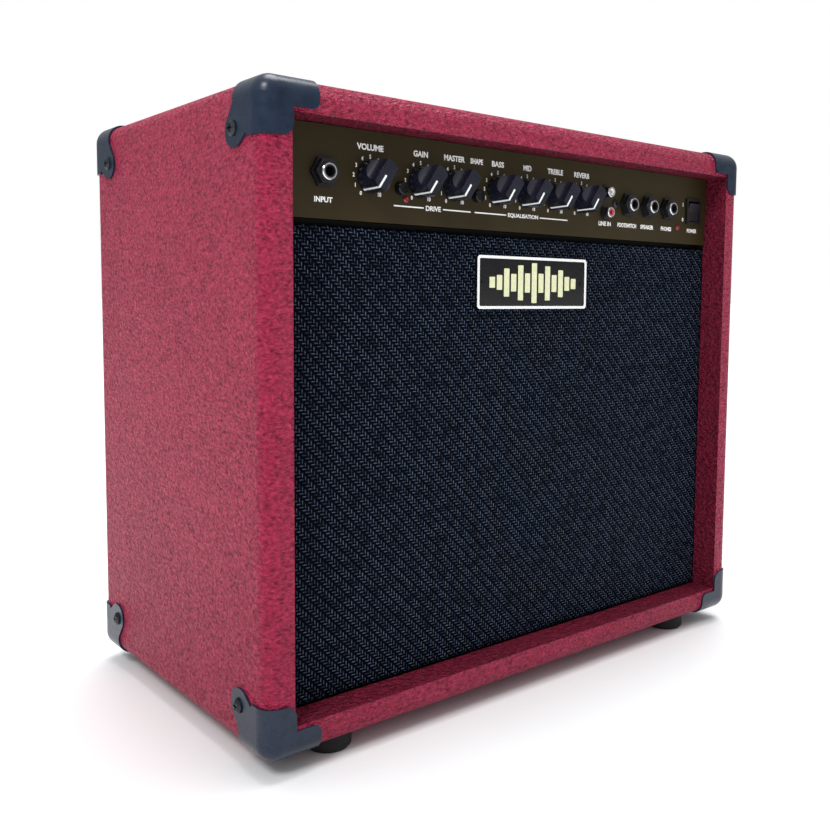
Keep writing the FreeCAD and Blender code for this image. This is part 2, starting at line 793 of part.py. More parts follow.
CLOTH_X = "lining_x - fit_gap"
FRAME_X = CLOTH_X + " - cloth_thickness"
frame_low = "opening_low + fit_gap + cloth_thickness"
frame_high = "grille_high - cloth_thickness"
frame = plate("grille_rails", "XZ_Plane", rectangle("-(%s)" % FRAME_X, frame_low, FRAME_X, frame_high),
              "grille_frame_thickness", windows=[rectangle(
                  "-(%s) + grille_frame_width" % FRAME_X, frame_low + " + grille_frame_width",
                  FRAME_X + " - grille_frame_width", frame_high + " - grille_frame_width")])
frame.Tip.Reversed = True
frame_block_radius = "cloth_edge_radius - cloth_thickness"


def on_front(edge):
    return abs(edge.CenterOfMass.y) < 0.01 and not (
        abs(edge.CenterOfMass.x) < number_of(FRAME_X) - 1
        and number_of(frame_low) + 1 < edge.CenterOfMass.z < number_of(frame_high) - 1)


round_edges(frame, frame_block_radius, on_front)
place(frame, "0", "frame_front", "0")
keep("grille_frame", frame)

cloth_outer = block_body("cloth_outer", ("-(%s)" % CLOTH_X, "panel_face", "opening_low + fit_gap"),
                         (CLOTH_X, "baffle_front", "grille_high"), "cloth_edge_radius",
                         lambda edge: abs(edge.CenterOfMass.y) < 0.01)
cloth_inner = block_body("cloth_inner", ("-(%s)" % FRAME_X, "frame_front", frame_low),
                         (FRAME_X, "baffle_front", frame_high), frame_block_radius,
                         lambda edge: abs(edge.CenterOfMass.y) < 0.01)
keep("grille_cloth", cut("cloth_skin", cloth_outer, cloth_inner))

BADGE_Z = "base + badge_centre_height"
badge_corners = middle("badge_width", "badge_height", "0", BADGE_Z)
badge = plate("badge", "XZ_Plane", badge_corners, "badge_thickness")
round_corners(badge, "XZ_Plane", badge_corners, "badge_corner_radius")
place(badge, "0", "panel_face", "0")
badge_field = box("badge_field", ("-badge_width / 2 + badge_rim", "panel_face - badge_thickness - 1",
                                  BADGE_Z + " - badge_height / 2 + badge_rim"),
                  ("badge_width / 2 - badge_rim", "panel_face - badge_thickness + badge_field_depth",
                   BADGE_Z + " + badge_height / 2 - badge_rim"))
badge_pins = [rod("badge_pin_" + name, ("%s * (badge_width / 2 - badge_pin_inset)" % side,
                                        "panel_face - badge_thickness / 2", BADGE_Z), TO_FRONT,
                  "badge_pin_radius", "badge_thickness / 2 - badge_field_depth + badge_pin_stand")
              for name, side in (("left", "-1"), ("right", "1"))]
keep("badge_plate", fuse("badge_whole", cut("badge_cut", badge, badge_field), *badge_pins))

REAR_X = "lining_x - fit_gap"
vents = []
for column in (-1, 1):
    for level in range(5):
        vents.append(middle("vent_length", "vent_width", "%d * vent_length * 0.7 + 20" % column,
                            REAR_UPPER_LOW + " + 26 + %d * vent_pitch" % level))
inlet_window = middle("inlet_width + 2 * fit_gap", "inlet_height + 2 * fit_gap", "inlet_x", "row_height - 4")
upper_plan = rectangle("-(%s)" % REAR_X, REAR_UPPER_LOW, REAR_X, "opening_high - fit_gap")
upper = plate("rear_upper", "XZ_Plane", upper_plan, "rear_panel_thickness", windows=vents + [inlet_window])
place(upper, "0", "rear_panel_back", "0")
keep("rear_panel_upper", cut("rear_upper_bored", upper, screw_holes))
lower_plan = rectangle("-(%s)" % REAR_X, "opening_low + fit_gap", REAR_X, REAR_LOWER_HIGH)
lower = plate("rear_lower", "XZ_Plane", lower_plan, "rear_panel_thickness")
place(lower, "0", "rear_panel_back", "0")
keep("rear_panel_lower", cut("rear_lower_bored", lower, screw_holes))


# ---------------------------------------------------------------- control layout
KNOBS = {"volume": "volume_x", "crunch": "crunch_x", "master": "crunch_x + knob_pitch", "bass": "bass_x",
         "middle": "bass_x + knob_pitch", "treble": "bass_x + 2 * knob_pitch",
         "reverb": "bass_x + 3 * knob_pitch"}
BUTTONS = {"drive": "drive_x", "shape": "shape_x"}
JACKS = ["input_x", "footswitch_x", "footswitch_x + jack_pitch", "footswitch_x + 2 * jack_pitch"]
BUTTON_Z = "row_height - button_drop"
PHONO_Z = ["row_height + phono_pitch / 2", "row_height - phono_pitch / 2"]
LAMPS = [("drive_lamp_x", "row_height - drive_lamp_drop"), ("power_lamp_x", "row_height - power_lamp_drop")]

panel_holes = [(x, "row_height", "pot_bushing_radius") for x in KNOBS.values()]
panel_holes += [(x, BUTTON_Z, "button_radius + button_gap") for x in BUTTONS.values()]
panel_holes += [(x, "row_height", "jack_thread_radius") for x in JACKS]
panel_holes += [("phono_x", z, "phono_base_radius") for z in PHONO_Z]
panel_holes += [("phono_x + phono_screw_offset", "row_height", "screw_radius + screw_gap")]
panel_holes += [(x, z, "lamp_radius") for x, z in LAMPS]
rocker_window = middle("rocker_frame_width - 2", "rocker_frame_height - 2", "rocker_x", "row_height")

panel_plan = rectangle("-(lining_x) + fit_gap", "panel_low", "lining_x - fit_gap", "opening_high - fit_gap")
panel = plate("panel", "XZ_Plane", panel_plan, "panel_thickness", panel_holes, [rocker_window])
place(panel, "0", "panel_back", "0")
keep("control_panel", panel)

CHASSIS_BACK = "chassis_front + chassis_depth"
front_wall_plan = rectangle("-(chassis_x)", "chassis_low", "chassis_x", "board_inner_high")
front_wall = plate("chassis_front_wall", "XZ_Plane", front_wall_plan, "chassis_wall", panel_holes,
                   [rocker_window])
place(front_wall, "0", "chassis_inside", "0")
walls = [front_wall]
walls.append(box("chassis_floor", ("-(chassis_x)", "chassis_front", "chassis_low"),
                 ("chassis_x", CHASSIS_BACK, "chassis_low + chassis_wall")))
walls.append(box("chassis_rear_wall", ("-(chassis_x)", CHASSIS_BACK + " - chassis_wall", "chassis_low"),
                 ("chassis_x", CHASSIS_BACK, "board_inner_high")))
for side in ("left", "right"):
    near, far = ("-(chassis_x)", "-(chassis_x) + chassis_wall")
    ear = ("-(chassis_x)", "-(chassis_x) + chassis_flange")
    if side == "right":
        near, far = ("chassis_x - chassis_wall", "chassis_x")
        ear = ("chassis_x - chassis_flange", "chassis_x")
    walls.append(box("chassis_end_" + side, (near, "chassis_front", "chassis_low"),
                     (far, CHASSIS_BACK, "board_inner_high")))
    walls.append(box("chassis_ear_" + side, (ear[0], "chassis_front", "board_inner_high - chassis_wall"),
                     (ear[1], CHASSIS_BACK, "board_inner_high")))
keep("chassis_tray", cut("chassis_bored", fuse("chassis_folded", *walls), bolt_holes))


# ---------------------------------------------------------------- potentiometers, shafts and knobs
pot_source = turned("potentiometer", [
    ("0", "-pot_body_depth"), ("pot_body_radius", "-pot_body_depth"), ("pot_body_radius", "0"),
    ("pot_bushing_radius - screw_gap", "0"),
    ("pot_bushing_radius - screw_gap", "chassis_wall + panel_thickness + pot_bushing_stand"),
    ("shaft_radius + shaft_gap", "chassis_wall + panel_thickness + pot_bushing_stand"),
    ("shaft_radius + shaft_gap", "-pot_body_depth + 2"), ("0", "-pot_body_depth + 2")])
keep("potentiometers", copies("pots", pot_source, [(x, "chassis_inside", "row_height", TO_FRONT)
                                                   for x in KNOBS.values()]))


def knob(node, x):
    """A skirted knob with two scooped flats that leave a grip bar, turned to its zero mark."""
    cavity_end = "knob_gap + knob_cavity_depth"
    bore_end = cavity_end + " + shaft_in_knob"
    body = turned(node + "_turning", [
        ("shaft_radius", cavity_end), ("knob_cavity_radius", cavity_end), ("knob_cavity_radius", "knob_gap"),
        ("knob_base_radius", "knob_gap"), ("knob_top_radius", "knob_front"), ("0", "knob_front"),
        ("0", bore_end), ("shaft_radius", bore_end)])
    scoops = []
    for side in ("-1", "1"):
        across = "%s * (knob_grip_half_width + knob_scoop_radius)" % side
        name = node + ("_scoop_left" if side == "-1" else "_scoop_right")
        scoops.append(rod(name, (across, "-2 * knob_base_radius", "knob_front"), TO_BACK,
                          "knob_scoop_radius", "4 * knob_base_radius"))
    shaped = cut(node + "_shaped", body, *scoops)
    at_zero = group(node + "_at_zero", [shaped])
    at_zero.Placement = Placement(Vector(), Rotation(Vector(0, 0, 1), 1))
    at_zero.setExpression("Placement.Rotation.Angle", bind("-knob_rest_angle"))
    return place(group(node + "_set", [at_zero]), x, "panel_face", "row_height", TO_FRONT)


for control, x in KNOBS.items():
    keep(control + "_knob", knob(control, x))
    shaft = rod(control + "_shaft_rod", (x, "chassis_inside + pot_body_depth - 3", "row_height"), TO_FRONT,
                "shaft_radius", "pot_body_depth - 3 + chassis_wall + panel_thickness + knob_gap"
                " + knob_cavity_depth + shaft_in_knob")
    keep(control + "_shaft", shaft)


# ---------------------------------------------------------------- buttons, lamps and power switch
BUTTON_LENGTH = "chassis_wall + panel_thickness + button_stand + 2"
for control, x in BUTTONS.items():
    button = turned(control + "_cap", [
        ("0", "0"), ("button_radius", "0"), ("button_radius", BUTTON_LENGTH + " - 0.6"),
        ("button_radius - 0.6", BUTTON_LENGTH), ("0", BUTTON_LENGTH)])
    place(button, x, "chassis_inside + 2", BUTTON_Z, TO_FRONT)
    keep(control + "_button", button)
BUTTON_BACK = "chassis_inside + 2 + button_travel"
switches = []
for control, x in BUTTONS.items():
    half = "button_switch_width / 2"
    near = ("%s - %s" % (x, half), "chassis_inside", "%s - %s" % (BUTTON_Z, half))
    far = ("%s + %s" % (x, half), "chassis_inside + pot_body_depth", "%s + %s" % (BUTTON_Z, half))
    blank = box(control + "_switch_block", near, far)
    well = rod(control + "_switch_well", (x, BUTTON_BACK + " + 0.4", BUTTON_Z), TO_FRONT,
               "button_radius + button_gap", "button_travel + 4")
    switches.append(cut(control + "_switch", blank, well))
keep("button_switches", group("switches", switches))

lamp = turned("lamp", [("0", "0"), ("lamp_radius - screw_gap", "0"),
                       ("lamp_radius - screw_gap", "chassis_wall + panel_thickness + 0.6"),
                       ("lamp_radius * 0.6", "chassis_wall + panel_thickness + lamp_stand"),
                       ("0", "chassis_wall + panel_thickness + lamp_stand")])
keep("indicator_lamps", copies("lamps", lamp, [(x, "chassis_inside", z, TO_FRONT) for x, z in LAMPS]))

FRAME_STAND = "panel_face - rocker_frame_stand"
ROCKER_IN_X = "rocker_frame_width / 2 - rocker_frame_lip"
ROCKER_IN_Z = "rocker_frame_height / 2 - rocker_frame_lip"
housing_lip = plate("rocker_lip", "XZ_Plane", middle("rocker_frame_width", "rocker_frame_height", "rocker_x",
                                                     "row_height"), "rocker_frame_stand")
round_corners(housing_lip, "XZ_Plane", middle("rocker_frame_width", "rocker_frame_height", "rocker_x",
                                              "row_height"), "1.2")
place(housing_lip, "0", "panel_face", "0")
housing_block = box("rocker_block", ("rocker_x - rocker_frame_width / 2 + 1 + screw_gap", "panel_face",
                                     "row_height - rocker_frame_height / 2 + 1 + screw_gap"),
                    ("rocker_x + rocker_frame_width / 2 - 1 - screw_gap", "panel_face + 20",
                     "row_height + rocker_frame_height / 2 - 1 - screw_gap"))
housing_well = box("rocker_well", ("rocker_x - (%s)" % ROCKER_IN_X, FRAME_STAND + " - 1",
                                   "row_height - (%s)" % ROCKER_IN_Z),
                   ("rocker_x + (%s)" % ROCKER_IN_X, "panel_face + 14", "row_height + (%s)" % ROCKER_IN_Z))
keep("rocker_housing", cut("rocker_frame", fuse("rocker_body", housing_lip, housing_block), housing_well))

rocker_half = "rocker_frame_height / 2 - rocker_frame_lip - 1.2"
rocker_face = "-rocker_proud - rocker_pivot_depth"
rocker_plan = [(rocker_face, "-(%s)" % rocker_half), (rocker_face + " + 0.9", "0"),
               (rocker_face, rocker_half),
               ("rocker_pivot_depth", "(%s) * 0.55" % rocker_half),
               ("rocker_pivot_depth", "-(%s) * 0.55" % rocker_half)]
rocker = plate("rocker", "YZ_Plane", rocker_plan, "2 * (%s) - 2 * rocker_gap" % ROCKER_IN_X)
place(rocker, "rocker_x - (%s) + rocker_gap" % ROCKER_IN_X, "panel_face + rocker_pivot_depth", "row_height",
      Rotation(Vector(1, 0, 0), 1))
rocker.setExpression("Placement.Rotation.Angle", bind("rocker_tilt"))
keep("power_rocker", rocker)


# ---------------------------------------------------------------- sockets
jack_length = "chassis_wall + panel_thickness + jack_stand"
jack_block = []
ferrules = []
nuts = []
ferrule_seat = jack_length + " - jack_ferrule_height"
jack_tube = turned("jack_tube", [
    ("jack_bore_radius", "0"), ("jack_thread_radius - screw_gap", "0"),
    ("jack_thread_radius - screw_gap", ferrule_seat), ("jack_nose_radius - screw_gap", ferrule_seat),
    ("jack_nose_radius - screw_gap", jack_length + " - 0.3"), ("jack_bore_radius + 0.3", jack_length),
    ("jack_bore_radius", jack_length)])
ferrule = turned("ferrule", [
    ("jack_nose_radius", "0"), ("jack_ferrule_radius", "0"),
    ("jack_ferrule_radius", "jack_ferrule_height - 0.4"),
    ("jack_ferrule_radius - 0.4", "jack_ferrule_height"), ("jack_nose_radius", "jack_ferrule_height")])


def hexagon(radius):
    return [("%s * cos(%d deg)" % (radius, 60 * k), "%s * sin(%d deg)" % (radius, 60 * k)) for k in range(6)]


nut = plate("jack_nut", "XY_Plane", hexagon("jack_nut_radius"), "jack_nut_height",
            [("0", "0", "jack_thread_radius")])
washer = plate("jack_washer", "XY_Plane", hexagon("jack_washer_radius"), "jack_washer_height",
               [("0", "0", "jack_thread_radius")])
for number, x in enumerate(JACKS):
    name = "jack_%d" % number
    half = "jack_body_width / 2"
    block = box(name + "_block", ("%s - %s" % (x, half), "chassis_inside", "row_height - %s" % half),
                ("%s + %s" % (x, half), "chassis_inside + jack_body_depth", "row_height + %s" % half))
    well = rod(name + "_well", (x, "chassis_inside + jack_body_depth - 2", "row_height"), TO_FRONT,
               "jack_bore_radius", "jack_body_depth")
    body = cut(name + "_body", block, well)
    tube = doc.addObject("App::Link", name + "_tube")
    tube.LinkedObject = jack_tube
    place(tube, x, "chassis_inside", "row_height", TO_FRONT)
    jack_block.append(fuse(name + "_whole", body, tube))
keep("jack_sockets", group("jacks", jack_block))
ferrule_places = [(x, "chassis_inside - (%s)" % ferrule_seat, "row_height", TO_FRONT) for x in JACKS]
keep("jack_ferrules", copies("ferrules", ferrule, ferrule_places))
nut_places = [(x, "panel_face - jack_washer_height", "row_height", TO_FRONT) for x in JACKS]
washer_places = [(x, "panel_face", "row_height", TO_FRONT) for x in JACKS]
keep("jack_nuts", group("nuts_and_washers", [copies("nuts", nut, nut_places),
                                             copies("washers", washer, washer_places)]))

phono_length = "chassis_wall + panel_thickness + phono_stand"
phono_step = "chassis_wall + panel_thickness + 1.5"
ring_seat = phono_length + " - phono_ring_height"
phono_shell = turned("phono_shell", [
    ("phono_insert_radius", "0"), ("phono_base_radius - screw_gap", "0"),
    ("phono_base_radius - screw_gap", phono_step), ("phono_ring_radius", phono_step),
    ("phono_ring_radius", ring_seat), ("phono_insert_radius", ring_seat)])
phono_ring = turned("phono_ring", [
    ("phono_insert_radius", "0"), ("phono_ring_radius", "0"),
    ("phono_ring_radius", "phono_ring_height - 0.3"),
    ("phono_ring_radius - 0.3", "phono_ring_height"), ("phono_insert_radius", "phono_ring_height")])
phono_insert = turned("phono_insert", [
    ("phono_pin_radius", "0"), ("phono_insert_radius", "0"),
    ("phono_insert_radius", phono_length + " - 0.8"), ("phono_pin_radius", phono_length + " - 0.8")])
phono_back = box("phono_back", ("phono_x - 8", "chassis_inside", "row_height - phono_pitch"),
                 ("phono_x + phono_screw_offset + 5", "chassis_inside + 10", "row_height + phono_pitch"))
phono_places = [("phono_x", "chassis_inside", z, TO_FRONT) for z in PHONO_Z]
phono_shells = copies("phono_shells", phono_shell, phono_places)
phono_screw_start = ("phono_x + phono_screw_offset", "chassis_inside + 9", "row_height")
phono_screw_bore = rod("phono_screw_bore", phono_screw_start, TO_FRONT, "screw_radius + screw_gap", "12")
keep("phono_block", cut("phono_bored", fuse("phono_whole", phono_back, phono_shells), phono_screw_bore))
ring_places = [("phono_x", "chassis_inside - (%s)" % ring_seat, z, TO_FRONT) for z in PHONO_Z]
keep("phono_rings", copies("phono_rings_pair", phono_ring, ring_places))
for node, z in zip(("phono_insert_white", "phono_insert_red"), PHONO_Z):
    insert = doc.addObject("App::Link", node + "_link")
    insert.LinkedObject = phono_insert
    place(insert, "phono_x", "chassis_inside", z, TO_FRONT)
    keep(node, group(node + "_piece", [insert]))
phono_screw = cross_screw("phono_screw", "screw_radius", "8", "3.4", "1.8")
place(phono_screw, "phono_x + phono_screw_offset", "panel_face", "row_height", TO_FRONT)
keep("phono_screw", phono_screw)


# ---------------------------------------------------------------- chassis contents
BOARD_FRONT = "chassis_inside + pot_body_depth"
board_low = "chassis_low + chassis_wall + 3"
board_plan = rectangle("circuit_board_centre_x - circuit_board_width / 2", board_low,
                       "circuit_board_centre_x + circuit_board_width / 2",
                       board_low + " + circuit_board_height")
circuit = plate("circuit", "XZ_Plane", board_plan, "circuit_board_thickness")
place(circuit, "0", BOARD_FRONT + " + circuit_board_thickness", "0")
keep("main_circuit_board", circuit)
capacitor = turned("capacitor", [
    ("0", "0"), ("capacitor_radius", "0"), ("capacitor_radius", "capacitor_height - 1"),
    ("capacitor_radius - 1", "capacitor_height"), ("0", "capacitor_height")])
board_back = BOARD_FRONT + " + circuit_board_thickness"
board_middle = board_low + " + circuit_board_height / 2"
capacitor_places = [("circuit_board_centre_x + %s * capacitor_radius * 2.6" % step, board_back, board_middle,
                     TO_BACK) for step in ("-1.5", "-0.5", "0.5", "1.5")]
keep("board_capacitors", copies("capacitors", capacitor, capacitor_places))

floor_z = "chassis_low + chassis_wall"
mid_y = "chassis_front + chassis_depth * 0.6"
stack_half = "transformer_depth * 0.3"
core_near = ("transformer_x - transformer_width / 2", "%s - %s" % (mid_y, stack_half), floor_z)
core_far = ("transformer_x + transformer_width / 2", "%s + %s" % (mid_y, stack_half),
            floor_z + " + transformer_height")
core_block = box("transformer_core", core_near, core_far)
coil_near = ("transformer_x - transformer_width * 0.3", mid_y + " - transformer_depth / 2",
             floor_z + " + transformer_height * 0.18")
coil_far = ("transformer_x + transformer_width * 0.3", mid_y + " + transformer_depth / 2",
            floor_z + " + transformer_height * 0.82")
coil_block = block_body("transformer_coil", coil_near, coil_far, "4")
keep("transformer", fuse("transformer_whole", core_block, coil_block))

sink_back = CHASSIS_BACK + " - chassis_wall"
sink_low = floor_z + " + 4"
fins = [box("sink_base", ("heat_sink_x - heat_sink_width / 2", sink_back + " - 4", sink_low),
            ("heat_sink_x + heat_sink_width / 2", sink_back, sink_low + " + heat_sink_height"))]
for index in range(11):
    x = "heat_sink_x - 5 * fin_pitch + %d * fin_pitch" % index
    fin_near = (x + " - fin_thickness / 2", sink_back + " - heat_sink_depth", sink_low)
    fin_far = (x + " + fin_thickness / 2", sink_back + " - 3", sink_low + " + heat_sink_height")
    fins.append(box("sink_fin_%d" % index, fin_near, fin_far))
keep("heat_sink", fuse("heat_sink_whole", *fins))

INLET_Z = "row_height - 4"
flange_plan = middle("inlet_flange_width", "inlet_flange_height", "inlet_x", INLET_Z)
flange = plate("inlet_flange", "XZ_Plane", flange_plan, "2.5")
round_corners(flange, "XZ_Plane", flange_plan, "3")
place(flange, "0", "rear_panel_back + 2.5", "0")
inlet_block = box("inlet_block", ("inlet_x - inlet_width / 2", "rear_panel_back - inlet_depth",
                                  INLET_Z + " - inlet_height / 2"),
                  ("inlet_x + inlet_width / 2", "rear_panel_back", INLET_Z + " + inlet_height / 2"))
socket_near = ("inlet_x - inlet_socket_width / 2", "rear_panel_back + 3 - inlet_socket_depth",
               INLET_Z + " - inlet_socket_height / 2")
socket_far = ("inlet_x + inlet_socket_width / 2", "rear_panel_back + 3",
              INLET_Z + " + inlet_socket_height / 2")
inlet_socket = box("inlet_socket", socket_near, socket_far)
keep("mains_inlet", cut("inlet_hollow", fuse("inlet_body", flange, inlet_block), inlet_socket))


# ---------------------------------------------------------------- loudspeaker
SHOULDER = "basket_shoulder_radius"
BASE = "basket_base_radius"
THROAT = "speaker_opening_radius - 4"
BACK_Z = "speaker_flange_thickness"


def set_back(name, item):
    """Stand a piece turned about +Z on the back of the baffle, pointing to the rear."""
    return place(group(name, [item]), "0", "baffle_back", "speaker_z", TO_BACK)


basket = turned("basket", [
    (THROAT, "0"), ("speaker_radius", "0"), ("speaker_radius", BACK_Z), (THROAT + " + 3", BACK_Z),
    (SHOULDER, BACK_Z + " + 8"), (BASE, "basket_depth"), ("voice_coil_radius + 5", "basket_depth"),
    ("voice_coil_radius + 5", "basket_depth - basket_wall"),
    (BASE + " - basket_wall", "basket_depth - basket_wall"),
    (SHOULDER + " - basket_wall", BACK_Z + " + 6"), (THROAT, BACK_Z)])
window = group("basket_window", [box("basket_window_block", ("-22", BASE + " + 6", BACK_Z + " + 14"),
                                     ("22", SHOULDER + " + 4", "basket_depth - 10"))])
windows = copies("basket_windows", window, [("0", "0", "0", Rotation(Vector(0, 0, 1), 60 * index))
                                            for index in range(6)])
basket_set = set_back("basket_set", cut("basket_open", basket, windows))
speaker_screw = cross_screw("speaker_screw", "screw_radius", "11", "screw_head_radius", "screw_head_height")
speaker_screw_spots = [(u, "baffle_back + " + BACK_Z, v, TO_BACK) for u, v in bolt_ring]
hole_low = rod("flange_hole_low", ("0", "0", "0"), DOWN, "screw_radius + screw_gap", "4")
hole_high = rod("flange_hole_high", ("0", "0", "0"), UP, "screw_radius + screw_gap", "1")
flange_hole = fuse("flange_hole", hole_low, hole_high)
flange_holes = copies("flange_holes", flange_hole, speaker_screw_spots)
keep("speaker_basket", cut("basket_bored", basket_set, flange_holes))
keep("speaker_screws", copies("speaker_screw_ring", speaker_screw, speaker_screw_spots))

POLE = "voice_coil_radius - 0.8 - voice_coil_gap"
GAP_WALL = "voice_coil_radius + voice_coil_gap"
magnet = turned("magnet", [
    ("0", "basket_depth"), (POLE, "basket_depth"), (POLE, "basket_depth + magnet_depth * 0.6"),
    (GAP_WALL, "basket_depth + magnet_depth * 0.6"), (GAP_WALL, "basket_depth"),
    ("magnet_radius", "basket_depth"),
    ("magnet_radius", "basket_depth + magnet_depth"), ("0", "basket_depth + magnet_depth")])
keep("speaker_magnet", set_back("magnet_set", magnet))

CONE_Z = "cone_set_back"
NECK_Z = "cone_set_back + cone_depth"
SLOPE = "cone_depth / (cone_edge_radius - voice_coil_radius)"
CAP_Z = "cone_set_back + (cone_edge_radius - dust_cap_radius) * " + SLOPE
cone = turned("cone", [
    ("0", CAP_Z + " - 4"), ("dust_cap_radius * 0.55", CAP_Z + " - 2.6"), ("dust_cap_radius", CAP_Z),
    ("cone_edge_radius", CONE_Z), ("cone_edge_radius", CONE_Z + " + cone_thickness"),
    ("voice_coil_radius", NECK_Z + " + cone_thickness"), ("voice_coil_radius", "basket_depth + coil_reach"),
    ("voice_coil_radius - 0.8", "basket_depth + coil_reach"), ("voice_coil_radius - 0.8", NECK_Z),
    ("dust_cap_radius - 2", CAP_Z + " + cone_thickness * 1.6"), ("dust_cap_radius * 0.55", CAP_Z + " - 1.4"),
    ("0", CAP_Z + " - 2.8")])
keep("speaker_cone", set_back("cone_set", cone))

SPAN = "(speaker_opening_radius - 4 - cone_edge_radius)"
surround = turned("surround", [
    ("cone_edge_radius", CONE_Z), ("cone_edge_radius + 0.2 * " + SPAN, "-1.6"),
    ("cone_edge_radius + 0.5 * " + SPAN, "-3.6"), ("cone_edge_radius + 0.8 * " + SPAN, "-2"), (THROAT, "0"),
    (THROAT, "cone_thickness"), ("cone_edge_radius + 0.78 * " + SPAN, "-0.9"),
    ("cone_edge_radius + 0.5 * " + SPAN, "-2.4"), ("cone_edge_radius + 0.22 * " + SPAN, "-0.4"),
    ("cone_edge_radius", CONE_Z + " + cone_thickness")])
keep("speaker_surround", set_back("surround_set", surround))

WALL_RUN = "(%s - %s) / (basket_depth - basket_wall - %s - 6)" % (SHOULDER, BASE, BACK_Z)


def inside_basket(depth):
    """The radius of the basket's inner wall at a depth."""
    return "%s - basket_wall - (%s - %s - 6) * %s" % (SHOULDER, depth, BACK_Z, WALL_RUN)


spider = turned("spider", [
    ("voice_coil_radius", "spider_depth"), (inside_basket("spider_depth"), "spider_depth"),
    (inside_basket("spider_depth + spider_thickness"), "spider_depth + spider_thickness"),
    ("voice_coil_radius", "spider_depth + spider_thickness")])
keep("speaker_spider", set_back("spider_set", spider))


# ---------------------------------------------------------------- build, test and write
doc.recompute()
faults = [item.Label for item in doc.Objects if "Invalid" in item.State or "Error" in item.State]
for node, item in PARTS.items():
    if item.Shape.isNull() or not item.Shape.isValid() or not item.Shape.Solids:
        faults.append(node)
if faults:
    raise RuntimeError("these objects did not build: " + ", ".join(faults))
os.makedirs("parts", exist_ok=True)
for node, item in PARTS.items():
    item.Shape.exportStep("parts/%s.step" % node)
print(len(PARTS), "pieces written")
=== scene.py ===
"""The looks of a guitar combo amplifier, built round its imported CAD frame. Lengths are in metres."""
import math

import bmesh
import bpy
import numpy as np
from mathutils import Matrix, Vector


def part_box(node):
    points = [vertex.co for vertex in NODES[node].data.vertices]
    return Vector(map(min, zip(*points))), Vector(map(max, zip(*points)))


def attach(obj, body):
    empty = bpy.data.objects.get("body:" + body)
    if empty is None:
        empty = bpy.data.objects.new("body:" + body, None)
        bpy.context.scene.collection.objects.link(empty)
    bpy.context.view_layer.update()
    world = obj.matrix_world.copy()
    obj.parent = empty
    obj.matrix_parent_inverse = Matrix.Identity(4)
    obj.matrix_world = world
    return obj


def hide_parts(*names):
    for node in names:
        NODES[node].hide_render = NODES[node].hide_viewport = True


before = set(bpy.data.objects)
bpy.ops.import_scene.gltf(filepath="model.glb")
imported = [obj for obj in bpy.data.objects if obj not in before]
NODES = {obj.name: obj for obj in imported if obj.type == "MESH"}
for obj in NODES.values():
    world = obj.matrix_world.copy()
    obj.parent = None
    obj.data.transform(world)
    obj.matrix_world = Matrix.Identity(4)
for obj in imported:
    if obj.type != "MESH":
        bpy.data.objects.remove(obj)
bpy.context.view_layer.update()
MM = 0.001


def low(node):
    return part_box(node)[0]


def high(node):
    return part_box(node)[1]


def centre(node):
    lo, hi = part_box(node)
    return (lo + hi) / 2


KNOBS = [name for name in NODES if name.endswith("_knob")]
PANEL_FACE = low("control_panel").y
ROW_Z = centre("volume_knob").z
KNOB_FRONT = low("volume_knob").y
TOP = high("vinyl_covering").z


# ------------------------------------------------------------------ shader building blocks
class Tree:
    """A material's node tree, with short calls for the nodes that the materials share."""

    def __init__(self, name):
        self.material = bpy.data.materials.new(name)
        self.material.use_nodes = True
        self.nodes = self.material.node_tree.nodes
        self.links = self.material.node_tree.links
        self.shader = self.nodes["Principled BSDF"]
        self.place = self.nodes.new("ShaderNodeTexCoord").outputs["Object"]

    def feed(self, socket, value):
        if isinstance(value, bpy.types.NodeSocket):
            self.links.new(value, socket)
        else:
            socket.default_value = value

    def add(self, kind, inputs, **settings):
        made = self.nodes.new("ShaderNode" + kind)
        for key, value in settings.items():
            setattr(made, key, value)
        for key, value in inputs.items():
            self.feed(made.inputs[key], value)
        return made

    def math(self, operation, *values):
        return self.add("Math", dict(enumerate(values)), operation=operation).outputs[0]

    def noise(self, scale, detail=2.0, roughness=0.5, place=None):
        inputs = {"Vector": place or self.place, "Scale": scale, "Detail": detail, "Roughness": roughness}
        return self.add("TexNoise", inputs).outputs["Fac"]

    def stretched(self, x, y, z):
        return self.add("Mapping", {"Vector": self.place, "Scale": (x, y, z)}).outputs[0]

    def spread(self, value, from_low, from_high, to_low=0.0, to_high=1.0):
        inputs = {"Value": value, "From Min": from_low, "From Max": from_high,
                  "To Min": to_low, "To Max": to_high}
        return self.add("MapRange", inputs).outputs["Result"]

    def blend(self, amount, first, second):
        mixed = self.add("Mix", {}, data_type="RGBA")
        self.feed(mixed.inputs[0], amount)
        self.feed(mixed.inputs[6], colour(first))
        self.feed(mixed.inputs[7], colour(second))
        return mixed.outputs[2]

    def bump(self, height, distance, strength=1.0, under=None):
        inputs = {"Height": height, "Distance": distance, "Strength": strength}
        if under is not None:
            inputs["Normal"] = under
        return self.add("Bump", inputs).outputs["Normal"]

    def finish(self, **values):
        for key, value in values.items():
            self.feed(self.shader.inputs[key.replace("_", " ")], value)
        return self.material


def colour(value):
    return (*value, 1.0) if isinstance(value, tuple) and len(value) == 3 else value


